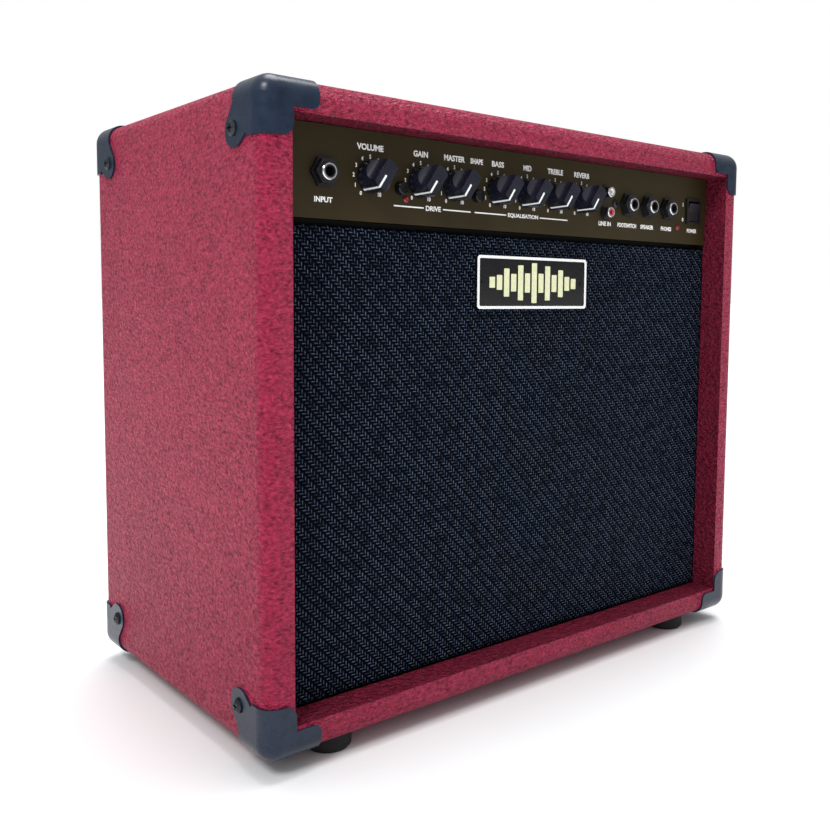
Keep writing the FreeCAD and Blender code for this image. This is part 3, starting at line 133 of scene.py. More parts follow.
# ------------------------------------------------------------------ materials
def grained_vinyl(name, crease, crown, pitch, depth, roughness, recess_shade=None):
    """Leathercloth with a pebble grain: rounded islands between wandering creases. Its colour runs from the
    crease colour to the crown colour: partly the grain's own tone, partly painted shade in the creases and
    painted highlight on the crowns.

    The last argument gives the half width, lowest and highest place of the recess's inner faces, which get
    painted shade: a darker copy of the grain colours.
    """
    tree = Tree(name)
    rolled = tree.stretched(0.6, 0.6, 1.0)
    wander = tree.add("TexNoise", {"Vector": rolled, "Scale": 320.0, "Detail": 3.0}).outputs["Color"]
    offset = tree.add("VectorMath", {0: wander, "Scale": pitch * 1.3}, operation="SCALE").outputs[0]
    bent = tree.add("VectorMath", {0: rolled, 1: offset}, operation="ADD").outputs[0]
    pebbles = tree.add("TexVoronoi", {"Vector": bent, "Scale": 1 / pitch, "Smoothness": 0.55},
                       feature="SMOOTH_F1").outputs["Distance"]
    ridges = tree.noise(0.85 / pitch, 3.5, 0.62, bent)
    height = tree.math("SUBTRACT", tree.math("MULTIPLY", ridges, 1.7), tree.math("MULTIPLY", pebbles, 0.6))
    patches = tree.noise(14.0, 3.0)
    # Colour by grain height: painted shade in the creases, painted highlight on the crowns, plus random patches
    # of tone.
    shade = tree.math("ADD", tree.spread(height, 0.1, 0.95), tree.spread(patches, 0.3, 0.7, -0.05, 0.05))
    tone = tree.blend(shade, crease, crown)
    # Painted shade: the recess's inner faces take a darker copy of the grain colours.
    if recess_shade:
        half, lowest, highest = recess_shade
        split = tree.add("SeparateXYZ", {"Vector": tree.place})
        across = tree.math("LESS_THAN", tree.math("ABSOLUTE", split.outputs["X"]), half)
        upright = tree.math("COMPARE", split.outputs["Z"], (lowest + highest) / 2, (highest - lowest) / 2)
        inside = tree.math("MULTIPLY", across, upright)
        painted_recess_shade = tree.blend(shade, tuple(0.5 * part for part in crease), tuple(0.45 * part for part in crown))
        tone = tree.blend(inside, tone, painted_recess_shade)
    return tree.finish(Base_Color=tone, Normal=tree.bump(height, depth),
                       Roughness=tree.spread(height, 0.2, 0.9, roughness + 0.12, roughness - 0.08),
                       Specular_IOR_Level=0.22)


def enamel(name, base, tint, roughness, flow=90.0, gloss=0.4):
    """Sprayed enamel on metal: a faint orange peel, cloudy gloss and small scuffs."""
    tree = Tree(name)
    peel = tree.noise(900.0, 2.0)
    cloud = tree.noise(flow, 4.0)
    scuffs = tree.spread(tree.noise(420.0, 6.0, 0.75, tree.stretched(1.0, 1.0, 0.15)), 0.66, 0.74)
    clouded = tree.spread(cloud, 0.3, 0.7, roughness - 0.05, roughness + 0.06)
    return tree.finish(Base_Color=tree.blend(tree.spread(cloud, 0.35, 0.65), base, tint),
                       Roughness=tree.math("ADD", clouded, tree.math("MULTIPLY", scuffs, 0.12)),
                       Normal=tree.bump(peel, 0.00003, 0.5), Specular_IOR_Level=gloss)


def moulded(name, base, tint, roughness, texture=1500.0, depth=0.00003, gloss=0.35):
    """Moulded plastic with a spark-eroded surface."""
    tree = Tree(name)
    spark = tree.noise(texture, 3.0, 0.7)
    cloud = tree.noise(70.0, 3.0)
    return tree.finish(Base_Color=tree.blend(tree.spread(cloud, 0.35, 0.65), base, tint),
                       Roughness=tree.spread(spark, 0.3, 0.7, roughness - 0.06, roughness + 0.08),
                       Normal=tree.bump(spark, depth, 0.6), Specular_IOR_Level=gloss)


def plated(name, base, tint, roughness, brushing=(1.0, 1.0, 1.0)):
    """Bare or plated metal with fine drawing marks along one way."""
    tree = Tree(name)
    marks = tree.noise(700.0, 5.0, 0.7, tree.stretched(*brushing))
    return tree.finish(Base_Color=tree.blend(tree.spread(marks, 0.3, 0.7), base, tint), Metallic=1.0,
                       Roughness=tree.spread(marks, 0.3, 0.7, roughness - 0.05, roughness + 0.1),
                       Normal=tree.bump(marks, 0.00002, 0.4))


def plywood(name, pale, dark, along=(1.0, 9.0, 9.0), painted=None):
    """Sanded plywood with long grain and open pores, black forward of a given place as painted shade within the
    cabinet behind the grille.
    """
    tree = Tree(name)
    place = tree.stretched(*along)
    rings = tree.noise(9.0, 5.0, 0.6, place)
    pores = tree.noise(160.0, 4.0, 0.7, place)
    tone = tree.math("ADD", tree.spread(rings, 0.35, 0.65, 0.0, 0.8),
                     tree.spread(pores, 0.52, 0.7, 0.0, 0.35))
    shown = tree.blend(tone, pale, dark)
    # Painted shade: forward of the given place the plywood is black, standing for the shade within the cabinet
    # behind the grille.
    if painted is not None:
        split = tree.add("SeparateXYZ", {"Vector": tree.place})
        painted_shade = tree.blend(pores, (0.004, 0.004, 0.004), (0.009, 0.009, 0.009))
        shown = tree.blend(tree.math("LESS_THAN", split.outputs["Y"], painted), shown, painted_shade)
    return tree.finish(Base_Color=shown, Roughness=0.72, Normal=tree.bump(pores, 0.00012, 0.5),
                       Specular_IOR_Level=0.2)


def grille_weave(name, pitch):
    """Speaker cloth: a two-over-two twill of dark cords, each with one pale strand that is partly its own thread
    and partly a painted highlight. Each cord is lighter at its crown and darker where it dips, as painted
    highlight and painted shade.
    """
    tree = Tree(name)
    split = tree.add("SeparateXYZ", {"Vector": tree.place})
    u, v = (tree.math("DIVIDE", split.outputs[axis], pitch) for axis in ("X", "Z"))
    column, row = tree.math("FLOOR", u), tree.math("FLOOR", v)
    part_u, part_v = tree.math("FRACT", u), tree.math("FRACT", v)
    step = tree.math("FLOORED_MODULO", tree.math("ADD", column, row), 4.0)
    is_weft = tree.math("LESS_THAN", step, 1.5)

    def pick(warp, weft):
        return tree.math("ADD", tree.math("MULTIPLY", is_weft, weft),
                         tree.math("MULTIPLY", tree.math("SUBTRACT", 1.0, is_weft), warp))

    across = pick(part_u, part_v)
    cells_along = tree.math("ADD", tree.math("FLOORED_MODULO", step, 2.0), pick(part_v, part_u))
    along = tree.math("DIVIDE", cells_along, 2.0)
    rise = tree.math("SINE", tree.math("MULTIPLY", along, math.pi))
    crown = tree.math("SINE", tree.math("MULTIPLY", across, math.pi))
    height = tree.math("MULTIPLY", tree.math("POWER", crown, 0.7), tree.math("POWER", rise, 0.5))
    # The pale strand is partly the cord's own thread and partly a painted highlight: brightest at the middle of
    # each float, and kept to cloth that faces the front.
    off_centre = tree.math("ABSOLUTE", tree.math("SUBTRACT", across, pick(0.34, 0.68)))
    strand = tree.math("MULTIPLY", tree.spread(off_centre, 0.2, 0.06), tree.spread(rise, 0.35, 0.8))
    normal = tree.add("NewGeometry", {}).outputs["True Normal"]
    facing = tree.add("SeparateXYZ", {"Vector": normal}).outputs["Y"]
    front = tree.spread(facing, -0.35, -0.6)
    strand_and_highlight = tree.math("MULTIPLY", tree.math("MULTIPLY", strand, front),
                       tree.spread(tree.noise(230.0, 3.0), 0.36, 0.62, 0.2, 1.0))
    fibres = tree.noise(2600.0, 2.0)
    # Each cord is lighter at its crown and darker at its edges and where it dips under: painted highlight and
    # painted shade across the weave.
    cord = tree.blend(tree.math("MULTIPLY", height, tree.spread(fibres, 0.3, 0.7, 0.4, 1.0)),
                      (0.0002, 0.0004, 0.0012), (0.002, 0.004, 0.011))
    relief = tree.math("ADD", height, tree.math("MULTIPLY", fibres, 0.15))
    return tree.finish(Base_Color=tree.blend(strand_and_highlight, cord, (0.085, 0.112, 0.17)), Roughness=0.7,
                       Normal=tree.bump(relief, 0.0006),
                       Specular_IOR_Level=0.03)


def pressed_paper(name, base, tint, ribs, depth):
    """Paper or cloth pressed in rings about the loudspeaker's axis."""
    tree = Tree(name)
    middle = centre("speaker_cone")
    split = tree.add("SeparateXYZ", {"Vector": tree.place})
    off_x = tree.math("SUBTRACT", split.outputs["X"], middle.x)
    off_z = tree.math("SUBTRACT", split.outputs["Z"], middle.z)
    squares = tree.math("ADD", tree.math("POWER", off_x, 2.0), tree.math("POWER", off_z, 2.0))
    radius = tree.math("SQRT", squares)
    rings = tree.math("SINE", tree.math("MULTIPLY", radius, ribs))
    fibres = tree.noise(700.0, 5.0, 0.75)
    height = tree.math("ADD", tree.math("MULTIPLY", rings, 0.5), tree.math("MULTIPLY", fibres, 0.25))
    return tree.finish(Base_Color=tree.blend(tree.spread(fibres, 0.35, 0.65), base, tint), Roughness=0.85,
                       Normal=tree.bump(height, depth))


def printed_ink(name, base, tint):
    tree = Tree(name)
    return tree.finish(Base_Color=tree.blend(tree.spread(tree.noise(900.0, 3.0), 0.35, 0.65), base, tint),
                       Roughness=0.55)


def clear_red(name):
    tree = Tree(name)
    depth = tree.noise(300.0, 2.0)
    tone = tree.blend(tree.spread(depth, 0.3, 0.7), (0.16, 0.004, 0.01), (0.3, 0.012, 0.02))
    return tree.finish(Base_Color=tone, Roughness=0.18, Coat_Weight=0.6, Coat_Roughness=0.08)


def circuit_mask(name):
    """Green solder mask over a net of tracks."""
    tree = Tree(name)
    net = tree.add("TexVoronoi", {"Vector": tree.place, "Scale": 160.0}, distance="MANHATTAN",
                   feature="F1").outputs["Distance"]
    tracks = tree.spread(net, 0.42, 0.5)
    return tree.finish(Base_Color=tree.blend(tracks, (0.012, 0.1, 0.04), (0.03, 0.2, 0.09)), Roughness=0.35,
                       Normal=tree.bump(tracks, 0.00004))


# The recess round the control panel and grille, where the crimson vinyl gets painted shade on its inner faces.
RECESS_SHADE_MARGIN = 0.8 * MM
RECESS_SHADE = (high("control_panel").x + RECESS_SHADE_MARGIN, low("grille_cloth").z - RECESS_SHADE_MARGIN,
          high("control_panel").z + RECESS_SHADE_MARGIN)
# Where the plywood's painted shade begins: the boards are black forward of this, behind the grille.
PAINTED_SHADE_EDGE = high("baffle_board").y + 19.0 * MM
# Crease and crown colours of each vinyl: the dark crease colour is partly painted shade, the light crown colour
# partly painted highlight.
CRIMSON = grained_vinyl("crimson_vinyl", (0.15, 0.002, 0.02), (0.56, 0.03, 0.1), 0.0017, 0.0035, 0.4, RECESS_SHADE)
BLACK_VINYL = grained_vinyl("black_vinyl", (0.004, 0.004, 0.005), (0.034, 0.034, 0.038), 0.0019, 0.0006, 0.5)
STRAP_VINYL = grained_vinyl("strap_vinyl", (0.004, 0.004, 0.005), (0.03, 0.03, 0.034), 0.0014, 0.0003, 0.42)
CORNER_ENAMEL = enamel("corner_enamel", (0.006, 0.014, 0.031), (0.01, 0.02, 0.042), 0.27, gloss=0.34)
MATT_STEEL = enamel("matt_steel", (0.006, 0.006, 0.007), (0.012, 0.012, 0.013), 0.7, flow=60.0, gloss=0.02)
PANEL_ENAMEL = enamel("panel_enamel", (0.028, 0.02, 0.007), (0.038, 0.028, 0.01), 0.5, flow=12.0, gloss=0.15)
BLACK_STEEL = enamel("black_steel", (0.012, 0.013, 0.015), (0.022, 0.023, 0.026), 0.42)
BLACK_OXIDE = plated("black_oxide", (0.03, 0.032, 0.038), (0.06, 0.063, 0.07), 0.38)
CHROME = plated("chrome", (0.82, 0.83, 0.85), (0.9, 0.9, 0.92), 0.1)
ZINC = plated("zinc_plate", (0.5, 0.51, 0.53), (0.66, 0.66, 0.68), 0.34, (0.08, 1.0, 1.0))
TURNED = plated("turned_shaft", (0.6, 0.6, 0.62), (0.75, 0.75, 0.77), 0.28, (1.0, 0.1, 1.0))
ANODISED = plated("black_anodised", (0.03, 0.03, 0.033), (0.06, 0.06, 0.065), 0.45)
RUBBER = moulded("foot_rubber", (0.008, 0.008, 0.009), (0.014, 0.014, 0.015), 0.78, 900.0, 0.00006)
KNOB_BLACK = moulded("knob_black", (0.004, 0.005, 0.012), (0.008, 0.009, 0.02), 0.24, 1600.0, 0.00001, 0.5)
SATIN_BLACK = moulded("satin_black", (0.006, 0.006, 0.008), (0.011, 0.011, 0.014), 0.36)
GLOSS_BLACK = moulded("gloss_black", (0.005, 0.005, 0.006), (0.008, 0.008, 0.009), 0.16, 1500.0, 0.000005)
WHITE_PLASTIC = moulded("white_plastic", (0.8, 0.79, 0.75), (0.88, 0.87, 0.84), 0.35)
RED_PLASTIC = moulded("red_plastic", (0.5, 0.012, 0.02), (0.6, 0.03, 0.03), 0.35)
BLACK_THREAD = moulded("black_thread", (0.02, 0.02, 0.022), (0.045, 0.045, 0.05), 0.7, 3000.0)
SLEEVE = moulded("capacitor_sleeve", (0.01, 0.014, 0.05), (0.016, 0.02, 0.07), 0.25)
PLYWOOD = plywood("plywood", (0.62, 0.44, 0.26), (0.4, 0.25, 0.12), painted=PAINTED_SHADE_EDGE)
PLYWOOD_UPRIGHT = plywood("plywood_upright", (0.62, 0.44, 0.26), (0.4, 0.25, 0.12), (9.0, 9.0, 1.0),
                          PAINTED_SHADE_EDGE)
STAINED = plywood("black_stain", (0.004, 0.004, 0.0045), (0.009, 0.0085, 0.008))
CONE_PAPER = pressed_paper("cone_paper", (0.018, 0.016, 0.014), (0.05, 0.045, 0.04), 1400.0, 0.0004)
SURROUND_CLOTH = pressed_paper("surround_cloth", (0.01, 0.01, 0.01), (0.024, 0.024, 0.024), 900.0, 0.0002)
SPIDER_CLOTH = pressed_paper("spider_cloth", (0.38, 0.22, 0.07), (0.5, 0.32, 0.12), 1500.0, 0.0008)
CREAM_INK = printed_ink("cream_ink", (0.7, 0.72, 0.44), (0.8, 0.82, 0.54))
PALE_INK = printed_ink("pale_ink", (0.88, 0.88, 0.85), (0.96, 0.96, 0.93))
WHITE_INK = printed_ink("white_ink", (0.86, 0.87, 0.86), (0.93, 0.94, 0.93))
CLEAR_RED = clear_red("clear_red")
SOLDER_MASK = circuit_mask("solder_mask")
WEAVE_PITCH = 2.2 * MM
GRILLE_WEAVE = grille_weave("grille_weave", WEAVE_PITCH)

FINISHES = {
    CRIMSON: ["vinyl_covering"],
    CORNER_ENAMEL: ["metal_corners"],
    BLACK_OXIDE: ["cabinet_screws", "chassis_bolts", "speaker_screws", "phono_screw"],
    PLYWOOD: ["top_board", "bottom_board"],
    PLYWOOD_UPRIGHT: ["side_board_left", "side_board_right", "mounting_cleats"],
    STAINED: ["baffle_board", "grille_frame"],
    BLACK_VINYL: ["rear_panel_upper", "rear_panel_lower"],
    RUBBER: ["rubber_feet"],
    STRAP_VINYL: ["handle_strap"],
    SATIN_BLACK: ["handle_end_caps", "button_switches", "rocker_housing", "power_rocker",
                  "jack_sockets", "jack_nuts", "phono_block", "mains_inlet"],
    GLOSS_BLACK: ["badge_plate", "drive_button", "shape_button"],
    PANEL_ENAMEL: ["control_panel"],
    ZINC: ["potentiometers"],
    KNOB_BLACK: KNOBS,
    TURNED: [name for name in NODES if name.endswith("_shaft")],
    CHROME: ["jack_ferrules", "phono_rings"],
    WHITE_PLASTIC: ["phono_insert_white"],
    RED_PLASTIC: ["phono_insert_red"],
    CLEAR_RED: ["indicator_lamps"],
    SOLDER_MASK: ["main_circuit_board"],
    SLEEVE: ["board_capacitors"],
    MATT_STEEL: ["chassis_tray"],
    BLACK_STEEL: ["transformer", "speaker_basket", "speaker_magnet"],
    ANODISED: ["heat_sink"],
    CONE_PAPER: ["speaker_cone"],
    SURROUND_CLOTH: ["speaker_surround"],
    SPIDER_CLOTH: ["speaker_spider"],
    GRILLE_WEAVE: ["grille_cloth"],
}
for finish, nodes in FINISHES.items():
    for node in nodes:
        for slot in NODES[node].material_slots:
            slot.material = finish


# ------------------------------------------------------------------ mesh pieces
def piece(name, mesh, material, body="cabinet", smooth=True):
    """Make an object of a bmesh or a mesh, with one material, riding on a body."""
    if isinstance(mesh, bmesh.types.BMesh):
        data = bpy.data.meshes.new(name)
        bmesh.ops.recalc_face_normals(mesh, faces=mesh.faces)
        mesh.to_mesh(data)
        mesh.free()
        mesh = data
    mesh.materials.clear()
    mesh.materials.append(material)
    for face in mesh.polygons:
        face.use_smooth = smooth
    made = bpy.data.objects.new(name, mesh)
    bpy.context.scene.collection.objects.link(made)
    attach(made, body)
    return made


def add_block(mesh, lo, hi, bevel=0.0, segments=2, turn=None):
    """Add a block with rounded edges between two corners, turned by a matrix about the origin."""
    size = Vector(hi) - Vector(lo)
    middle = (Vector(hi) + Vector(lo)) / 2
    sized = Matrix.Translation(middle) @ Matrix.Diagonal((*size, 1.0))
    made = bmesh.ops.create_cube(mesh, size=1.0, matrix=sized)
    corners = made["verts"]
    if bevel:
        edges = {edge for corner in corners for edge in corner.link_edges}
        rounded = bmesh.ops.bevel(mesh, geom=list(edges), offset=bevel, segments=segments, affect="EDGES")
        corners = list({*rounded["verts"], *(vert for vert in corners if vert.is_valid)})
    if turn is not None:
        bmesh.ops.transform(mesh, matrix=turn, verts=corners)


# ------------------------------------------------------------------ grille cloth
def grille_cloth():
    """A sheet stretched over the grille frame, rolled round its edges, with the cords' relief in its mesh."""
    lo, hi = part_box("grille_cloth")
    roll, relief, tuck = 4.0 * MM, 0.3 * MM, 6.0 * MM
    face_inset, depth_margin, float_end_share = 0.45 * MM, 1.0 * MM, 0.35
    half_x, half_z, middle = (hi.x - lo.x) / 2, (hi.z - lo.z) / 2, (lo + hi) / 2
    wrap = roll * math.pi / 2 + tuck
    flat_x, flat_z = half_x - roll + wrap, half_z - roll + wrap

    def rolled(flat, half):
        """Where a flat distance from the middle lands: outward, and back from the face."""
        past = np.maximum(np.abs(flat) - (half - roll), 0.0)
        angle = np.minimum(past / roll, math.pi / 2)
        out = np.minimum(np.abs(flat), half - roll) + roll * np.sin(angle)
        back = roll * (1 - np.cos(angle)) + np.maximum(past - roll * math.pi / 2, 0.0)
        return np.sign(flat) * out, back

    step = WEAVE_PITCH / 2
    count_x, count_z = int(flat_x / step), int(flat_z / step)
    ij = np.meshgrid(np.arange(-count_x, count_x + 1), np.arange(-count_z, count_z + 1), indexing="ij")
    start = round(middle.z / step) * step - middle.z
    x, back_x = rolled(ij[0] * step, half_x)
    z, back_z = rolled(ij[1] * step + start, half_z)
    row = ij[1] + round(middle.z / step)
    over = (np.floor_divide(ij[0], 2) + np.floor_divide(row, 2)) % 4
    is_weft = over < 2
    ridge = np.where(is_weft, row % 2, ij[0] % 2)
    float_end = np.where(is_weft, (ij[0] % 2 == 0) & (over % 2 == 0), (row % 2 == 0) & (over % 2 == 0))
    raised = relief * np.where(float_end, float_end_share, ridge)
    y = lo.y + face_inset + np.minimum(back_x + back_z, hi.y - lo.y - depth_margin) - raised
    points = np.stack([x + middle.x, y, z + middle.z], axis=-1).reshape(-1, 3)
    across = 2 * count_z + 1
    first = (np.arange(2 * count_x)[:, None] * across + np.arange(2 * count_z)[None, :]).reshape(-1, 1)
    faces = np.hstack([first, first + across, first + across + 1, first + 1])
    mesh = bpy.data.meshes.new("grille_weave")
    mesh.from_pydata(points.tolist(), [], faces.tolist())
    cloth = piece("woven_grille_cloth", mesh, GRILLE_WEAVE)
    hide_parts("grille_cloth")


# ------------------------------------------------------------------ printing on the control panel
INK = 0.05 * MM
TEXT_DEPTH = 0.04
BOLD, LESS_BOLD = 0.034, 0.03
TITLE_HEIGHT, SHAPE_HEIGHT, CAPTION_HEIGHT = 4.1 * MM, 3.9 * MM, 3.5 * MM
NUMBER_HEIGHT, MARK_HEIGHT, BRACKET_WIDTH = 2.7 * MM, 3.4 * MM, 0.9 * MM


def add_text(mesh, words, x, z, height, width=None, bold=0.0):
    """Add lettering centred on (x, z) on the panel's face, of a cap height and, if given, a width."""
    curve = bpy.data.curves.new("lettering", "FONT")
    curve.body = words
    curve.align_x, curve.align_y = "CENTER", "CENTER"
    curve.extrude = TEXT_DEPTH
    curve.offset = bold
    curve.resolution_u = 3
    holder = bpy.data.objects.new("lettering", curve)
    flat = bpy.data.meshes.new_from_object(holder)
    xs = [vertex.co.x for vertex in flat.vertices]
    ys = [vertex.co.y for vertex in flat.vertices]
    scale = height / (max(ys) - min(ys))
    scale_x = width / (max(xs) - min(xs)) if width else scale * 0.9
    off_x, off_y = (max(xs) + min(xs)) / 2, (max(ys) + min(ys)) / 2
    for vertex in flat.vertices:
        over_x, up, out = vertex.co
        vertex.co = (x + (over_x - off_x) * scale_x, PANEL_FACE - INK / 2 - out / TEXT_DEPTH * INK / 2,
                     z + (up - off_y) * scale)
    mesh.from_mesh(flat)
    bpy.data.objects.remove(holder)
    bpy.data.curves.remove(curve)
    bpy.data.meshes.remove(flat)


def add_line(mesh, x0, x1, z, width):
    add_block(mesh, (x0, PANEL_FACE - INK, z - width / 2), (x1, PANEL_FACE, z + width / 2))


DIAL_RADIUS, DIAL_STEP, DIAL_START = 13.0 * MM, 29.0, -145.0
TITLES = {"volume": ("VOLUME", 21.0), "crunch": ("GAIN", 12.5), "master": ("MASTER", 19.0),
          "bass": ("BASS", 12.0), "middle": ("MID", 8.5), "treble": ("TREBLE", 17.0), "reverb": ("REVERB", 17.5)}
TITLE_Z, CAPTION_Z = 391.0 * MM, 355.2 * MM
JACK_X = [-185.8 * MM, 110.2 * MM, 136.6 * MM, 163.0 * MM]
CAPTIONS = [("INPUT", JACK_X[0], 13.5), ("DRIVE", -96.9 * MM, 13.4), ("EQUALISATION", -10.4 * MM, 31.5),
            ("LINE IN", centre("phono_block").x - 4.8 * MM, 15.0), ("FOOTSWITCH", JACK_X[1], 24.0),
            ("SPEAKER", JACK_X[2], 17.5), ("PHONES", JACK_X[3], 14.5),
            ("POWER", centre("rocker_housing").x, 14.0)]
BRACKETS = [(-130.8, -105.4), (-88.4, -62.8), (-59.0, -28.0), (7.2, 38.0)]


def panel_print():
    """Titles, dial numbers and captions in pale ink."""
    mesh = bmesh.new()
    for control, (words, width) in TITLES.items():
        middle = centre(control + "_knob")
        add_text(mesh, words, middle.x, TITLE_Z, TITLE_HEIGHT, width * MM, BOLD)
        for number in range(11):
            angle = math.radians(DIAL_START + DIAL_STEP * number)
            add_text(mesh, str(number), middle.x + DIAL_RADIUS * math.sin(angle),
                     ROW_Z + DIAL_RADIUS * math.cos(angle), NUMBER_HEIGHT, None, LESS_BOLD)
    shape_x = centre("shape_button").x
    add_text(mesh, "SHAPE", shape_x, TITLE_Z, SHAPE_HEIGHT, 12.0 * MM, BOLD)
    for words, x, width in CAPTIONS:
        add_text(mesh, words, x, CAPTION_Z, CAPTION_HEIGHT, width * MM, BOLD)
    for x0, x1 in BRACKETS:
        add_line(mesh, x0 * MM, x1 * MM, CAPTION_Z, BRACKET_WIDTH)
    switch = centre("rocker_housing")
    for words, z in (("1", ROW_Z + 5.4 * MM), ("0", ROW_Z - 7.6 * MM)):
        add_text(mesh, words, switch.x - 13.6 * MM, z, MARK_HEIGHT, None, LESS_BOLD)
    piece("panel_print", mesh, PALE_INK, smooth=False)


# ------------------------------------------------------------------ knobs, badge and small trim
def knob_pointer(node):
    """A white line on the knob's grip and down its side, at the zero mark."""
    middle = centre(node)
    turn = (Matrix.Translation((middle.x, 0.0, middle.z)) @ Matrix.Rotation(math.radians(DIAL_START), 4, "Y"))
    rim, half, proud = 10.0 * MM, 0.7 * MM, 0.12 * MM
    skirt_outer, skirt_inner = 10.74 * MM, 10.3 * MM
    mesh = bmesh.new()
    add_block(mesh, (-half, KNOB_FRONT - proud, 0.6 * MM), (half, KNOB_FRONT + proud, rim + 0.1 * MM),
              0.05 * MM, 1, turn)
    back = high(node).y - 1.0 * MM
    side = [(rim - 0.1 * MM, KNOB_FRONT - proud), (rim + 0.15 * MM, KNOB_FRONT - proud), (skirt_outer, back),
            (skirt_inner, back)]
    loops = [[mesh.verts.new(turn @ Vector((x, y, r))) for r, y in side] for x in (-half, half)]
    mesh.faces.new(loops[0])
    mesh.faces.new(loops[1][::-1])
    for index in range(4):
        after = (index + 1) % 4
        mesh.faces.new([loops[0][index], loops[0][after], loops[1][after], loops[1][index]])
    piece(node + "_pointer", mesh, WHITE_INK, node.removesuffix("_knob"), smooth=False)


def rounded_rectangle(half_x, half_z, radius, segments=6):
    """The points of a rounded rectangle about the origin, in order."""
    points = []
    for quarter, (sign_x, sign_z) in enumerate(((1, 1), (-1, 1), (-1, -1), (1, -1))):
        for index in range(segments + 1):
            angle = math.pi / 2 * (quarter + index / segments)
            points.append((sign_x * (half_x - radius) + radius * math.cos(angle),
                           sign_z * (half_z - radius) + radius * math.sin(angle)))
    return points


def badge_trim():
    """The badge's white rim and a plain motif of upright bars in cream ink."""
    lo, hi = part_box("badge_plate")
    front, middle, half = lo.y, (lo + hi) / 2, (hi - lo) / 2
    rim, proud, corner = 2.0 * MM, 0.12 * MM, 2.5 * MM
    mesh = bmesh.new()
    outer = rounded_rectangle(half.x, half.z, corner)
    inner = rounded_rectangle(half.x - rim, half.z - rim, corner / 2)
    rings = [[mesh.verts.new((middle.x + x, y, middle.z + z)) for x, z in outline]
             for outline, y in ((outer, front + 0.3 * MM), (outer, front - proud), (inner, front - proud),
                                (inner, front + 0.3 * MM))]
    for first, second in zip(rings, rings[1:] + rings[:1]):
        for index in range(len(first)):
            after = (index + 1) % len(first)
            mesh.faces.new([first[index], first[after], second[after], second[index]])
    piece("badge_rim", mesh, WHITE_INK, smooth=False)
    mesh = bmesh.new()
    count, pitch, width = 13, 7.2 * MM, 5.4 * MM
    for index in range(count):
        x = middle.x + (index - (count - 1) / 2) * pitch
        reach = 1 - abs(2 * index / (count - 1) - 1)
        tall = (4.0 + 11.0 * math.sqrt(reach) * (0.66 + 0.34 * math.cos(index * math.pi))) * MM
        add_block(mesh, (x - width / 2, front + 0.1 * MM, middle.z - tall), (x + width / 2, front + 0.7 * MM,
                                                                             middle.z + tall), 0.25 * MM, 2)
    piece("badge_bars", mesh, CREAM_INK, smooth=False)


def strap_stitching():
    """Two rows of stitches along the strap, laid on its upper surface."""
    strap = NODES["handle_strap"]
    lo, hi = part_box("handle_strap")
    mesh = bmesh.new()
    length, gap, half = 3.2 * MM, 1.6 * MM, 0.35 * MM
    row_offset, bare_ends, above = 8.6 * MM, 30 * MM, 0.01
    count = int((hi.x - lo.x - bare_ends) / (length + gap))
    for side in (-1, 1):
        y = side * row_offset
        for index in range(count):
            x = (index - (count - 1) / 2) * (length + gap)
            ends = []
            for at in (x - length / 2, x + length / 2):
                found, point, _, _ = strap.ray_cast(Vector((at, y, hi.z + above)), Vector((0, 0, -1)))
                if found:
                    ends.append(point)
            if len(ends) == 2:
                run = ends[1] - ends[0]
                turn = (Matrix.Translation((ends[0] + ends[1]) / 2)
                        @ Matrix.Rotation(-math.atan2(run.z, run.x), 4, "Y"))
                add_block(mesh, (-run.length / 2, -half, -half), (run.length / 2, half, half),
                          0.25 * MM, 2, turn)
    piece("strap_stitching", mesh, BLACK_THREAD)


grille_cloth()
panel_print()
for knob in KNOBS:
    knob_pointer(knob)
badge_trim()
strap_stitching()


# ------------------------------------------------------------------ floor, light and camera
def studio_floor():
    tree = Tree("studio_floor")
    tone = tree.spread(tree.noise(3.0, 2.0), 0.3, 0.7)
    material = tree.finish(Base_Color=tree.blend(tone, (0.83, 0.83, 0.84), (0.86, 0.86, 0.87)), Roughness=0.9,
                           Specular_IOR_Level=0.1)
    mesh = bmesh.new()
    bmesh.ops.create_circle(mesh, cap_ends=True, radius=60.0, segments=96)
    data = bpy.data.meshes.new("studio_floor")
    mesh.to_mesh(data)
    mesh.free()
    data.materials.append(material)
    floor = bpy.data.objects.new("studio_floor", data)
    floor.location.z = -0.0002
    bpy.context.scene.collection.objects.link(floor)


def light(name, kind, place, target, power, size, tint=(1.0, 1.0, 1.0)):
    lamp = bpy.data.lights.new(name, kind)
    lamp.energy = power
    lamp.color = tint
    if kind == "AREA":
        lamp.size = size
    else:
        lamp.angle = size
    holder = bpy.data.objects.new(name, lamp)
    holder.location = place
    holder.rotation_euler = (Vector(target) - Vector(place)).to_track_quat("-Z", "Y").to_euler()
    bpy.context.scene.collection.objects.link(holder)


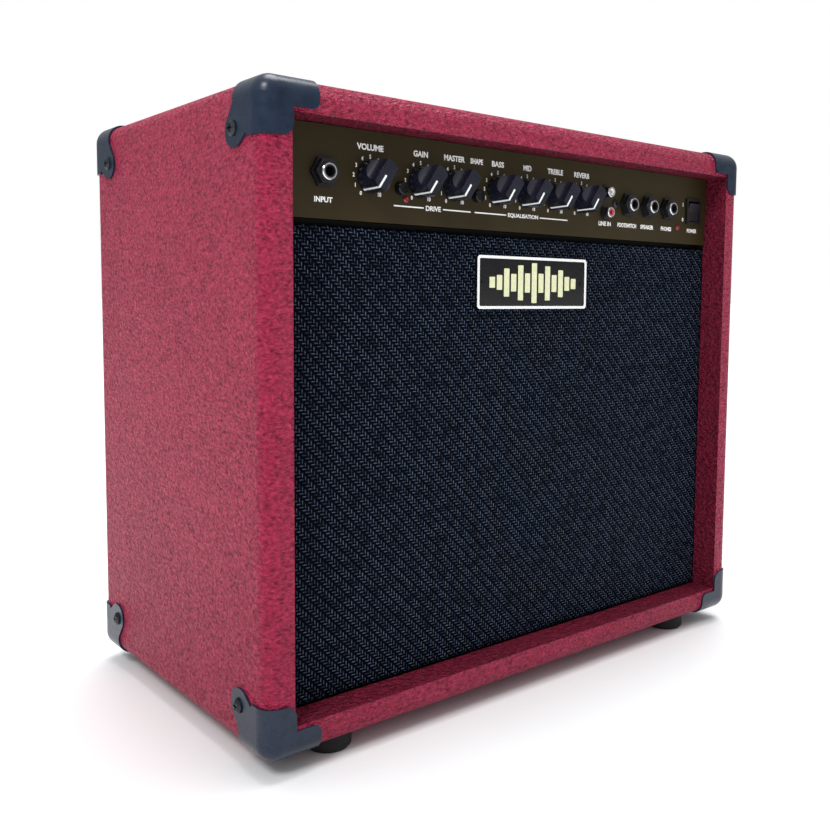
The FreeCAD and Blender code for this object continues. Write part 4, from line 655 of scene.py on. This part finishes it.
def studio_light():
    """White behind everything, with the light itself mostly from above and from the left."""
    world = bpy.data.worlds.new("studio")
    world.use_nodes = True
    nodes, links = world.node_tree.nodes, world.node_tree.links
    direction = nodes.new("ShaderNodeTexCoord").outputs["Generated"]
    height = nodes.new("ShaderNodeSeparateXYZ")
    links.new(direction, height.inputs[0])
    fill = nodes.new("ShaderNodeMapRange")
    for key, value in {"From Min": 0.0, "From Max": 0.9, "To Min": 0.24, "To Max": 0.85}.items():
        fill.inputs[key].default_value = value
    links.new(height.outputs["Z"], fill.inputs["Value"])
    backdrop = nodes.new("ShaderNodeMix")
    backdrop.inputs["B"].default_value = 1.0
    links.new(fill.outputs["Result"], backdrop.inputs["A"])
    links.new(nodes.new("ShaderNodeLightPath").outputs["Is Camera Ray"], backdrop.inputs["Factor"])
    links.new(backdrop.outputs["Result"], nodes["Background"].inputs["Strength"])
    nodes["Background"].inputs["Color"].default_value = (1.0, 1.0, 1.0, 1.0)
    bpy.context.scene.world = world
    middle = (0.0, 0.0, 0.2)
    light("overhead", "SUN", (0.5, 0.3, 2.6), middle, 2.6, math.radians(40))
    light("left_panel", "AREA", (-1.3, -0.7, 1.5), middle, 17.0, 0.5)
    light("low_panel", "AREA", (-0.9, -1.6, 0.15), middle, 1.5, 0.6, (0.55, 0.68, 1.0))
    bpy.context.scene.view_settings.view_transform = "Standard"


def camera():
    """The camera stands to the left of the front, a little above the middle of the cabinet."""
    place = Vector((-0.50534, -0.61075, 0.29520))
    yaw, pitch, roll = 0.694754, 0.081547, 0.008
    ahead = Vector((math.sin(yaw) * math.cos(pitch), math.cos(yaw) * math.cos(pitch), -math.sin(pitch)))
    right = Vector((math.cos(yaw), -math.sin(yaw), 0.0))
    up = right.cross(ahead)
    tilted_right = math.cos(roll) * right + math.sin(roll) * up
    tilted_up = -math.sin(roll) * right + math.cos(roll) * up
    data = bpy.data.cameras.new("camera")
    data.lens, data.sensor_width = 40.328, 36.0
    data.shift_x, data.shift_y = -0.0301, -0.0509
    data.clip_start, data.clip_end = 0.01, 200.0
    holder = bpy.data.objects.new("camera", data)
    axes = Matrix((tilted_right, tilted_up, -ahead)).transposed().to_4x4()
    holder.matrix_world = Matrix.Translation(place) @ axes
    bpy.context.scene.collection.objects.link(holder)
    bpy.context.scene.camera = holder


studio_floor()
studio_light()
camera()
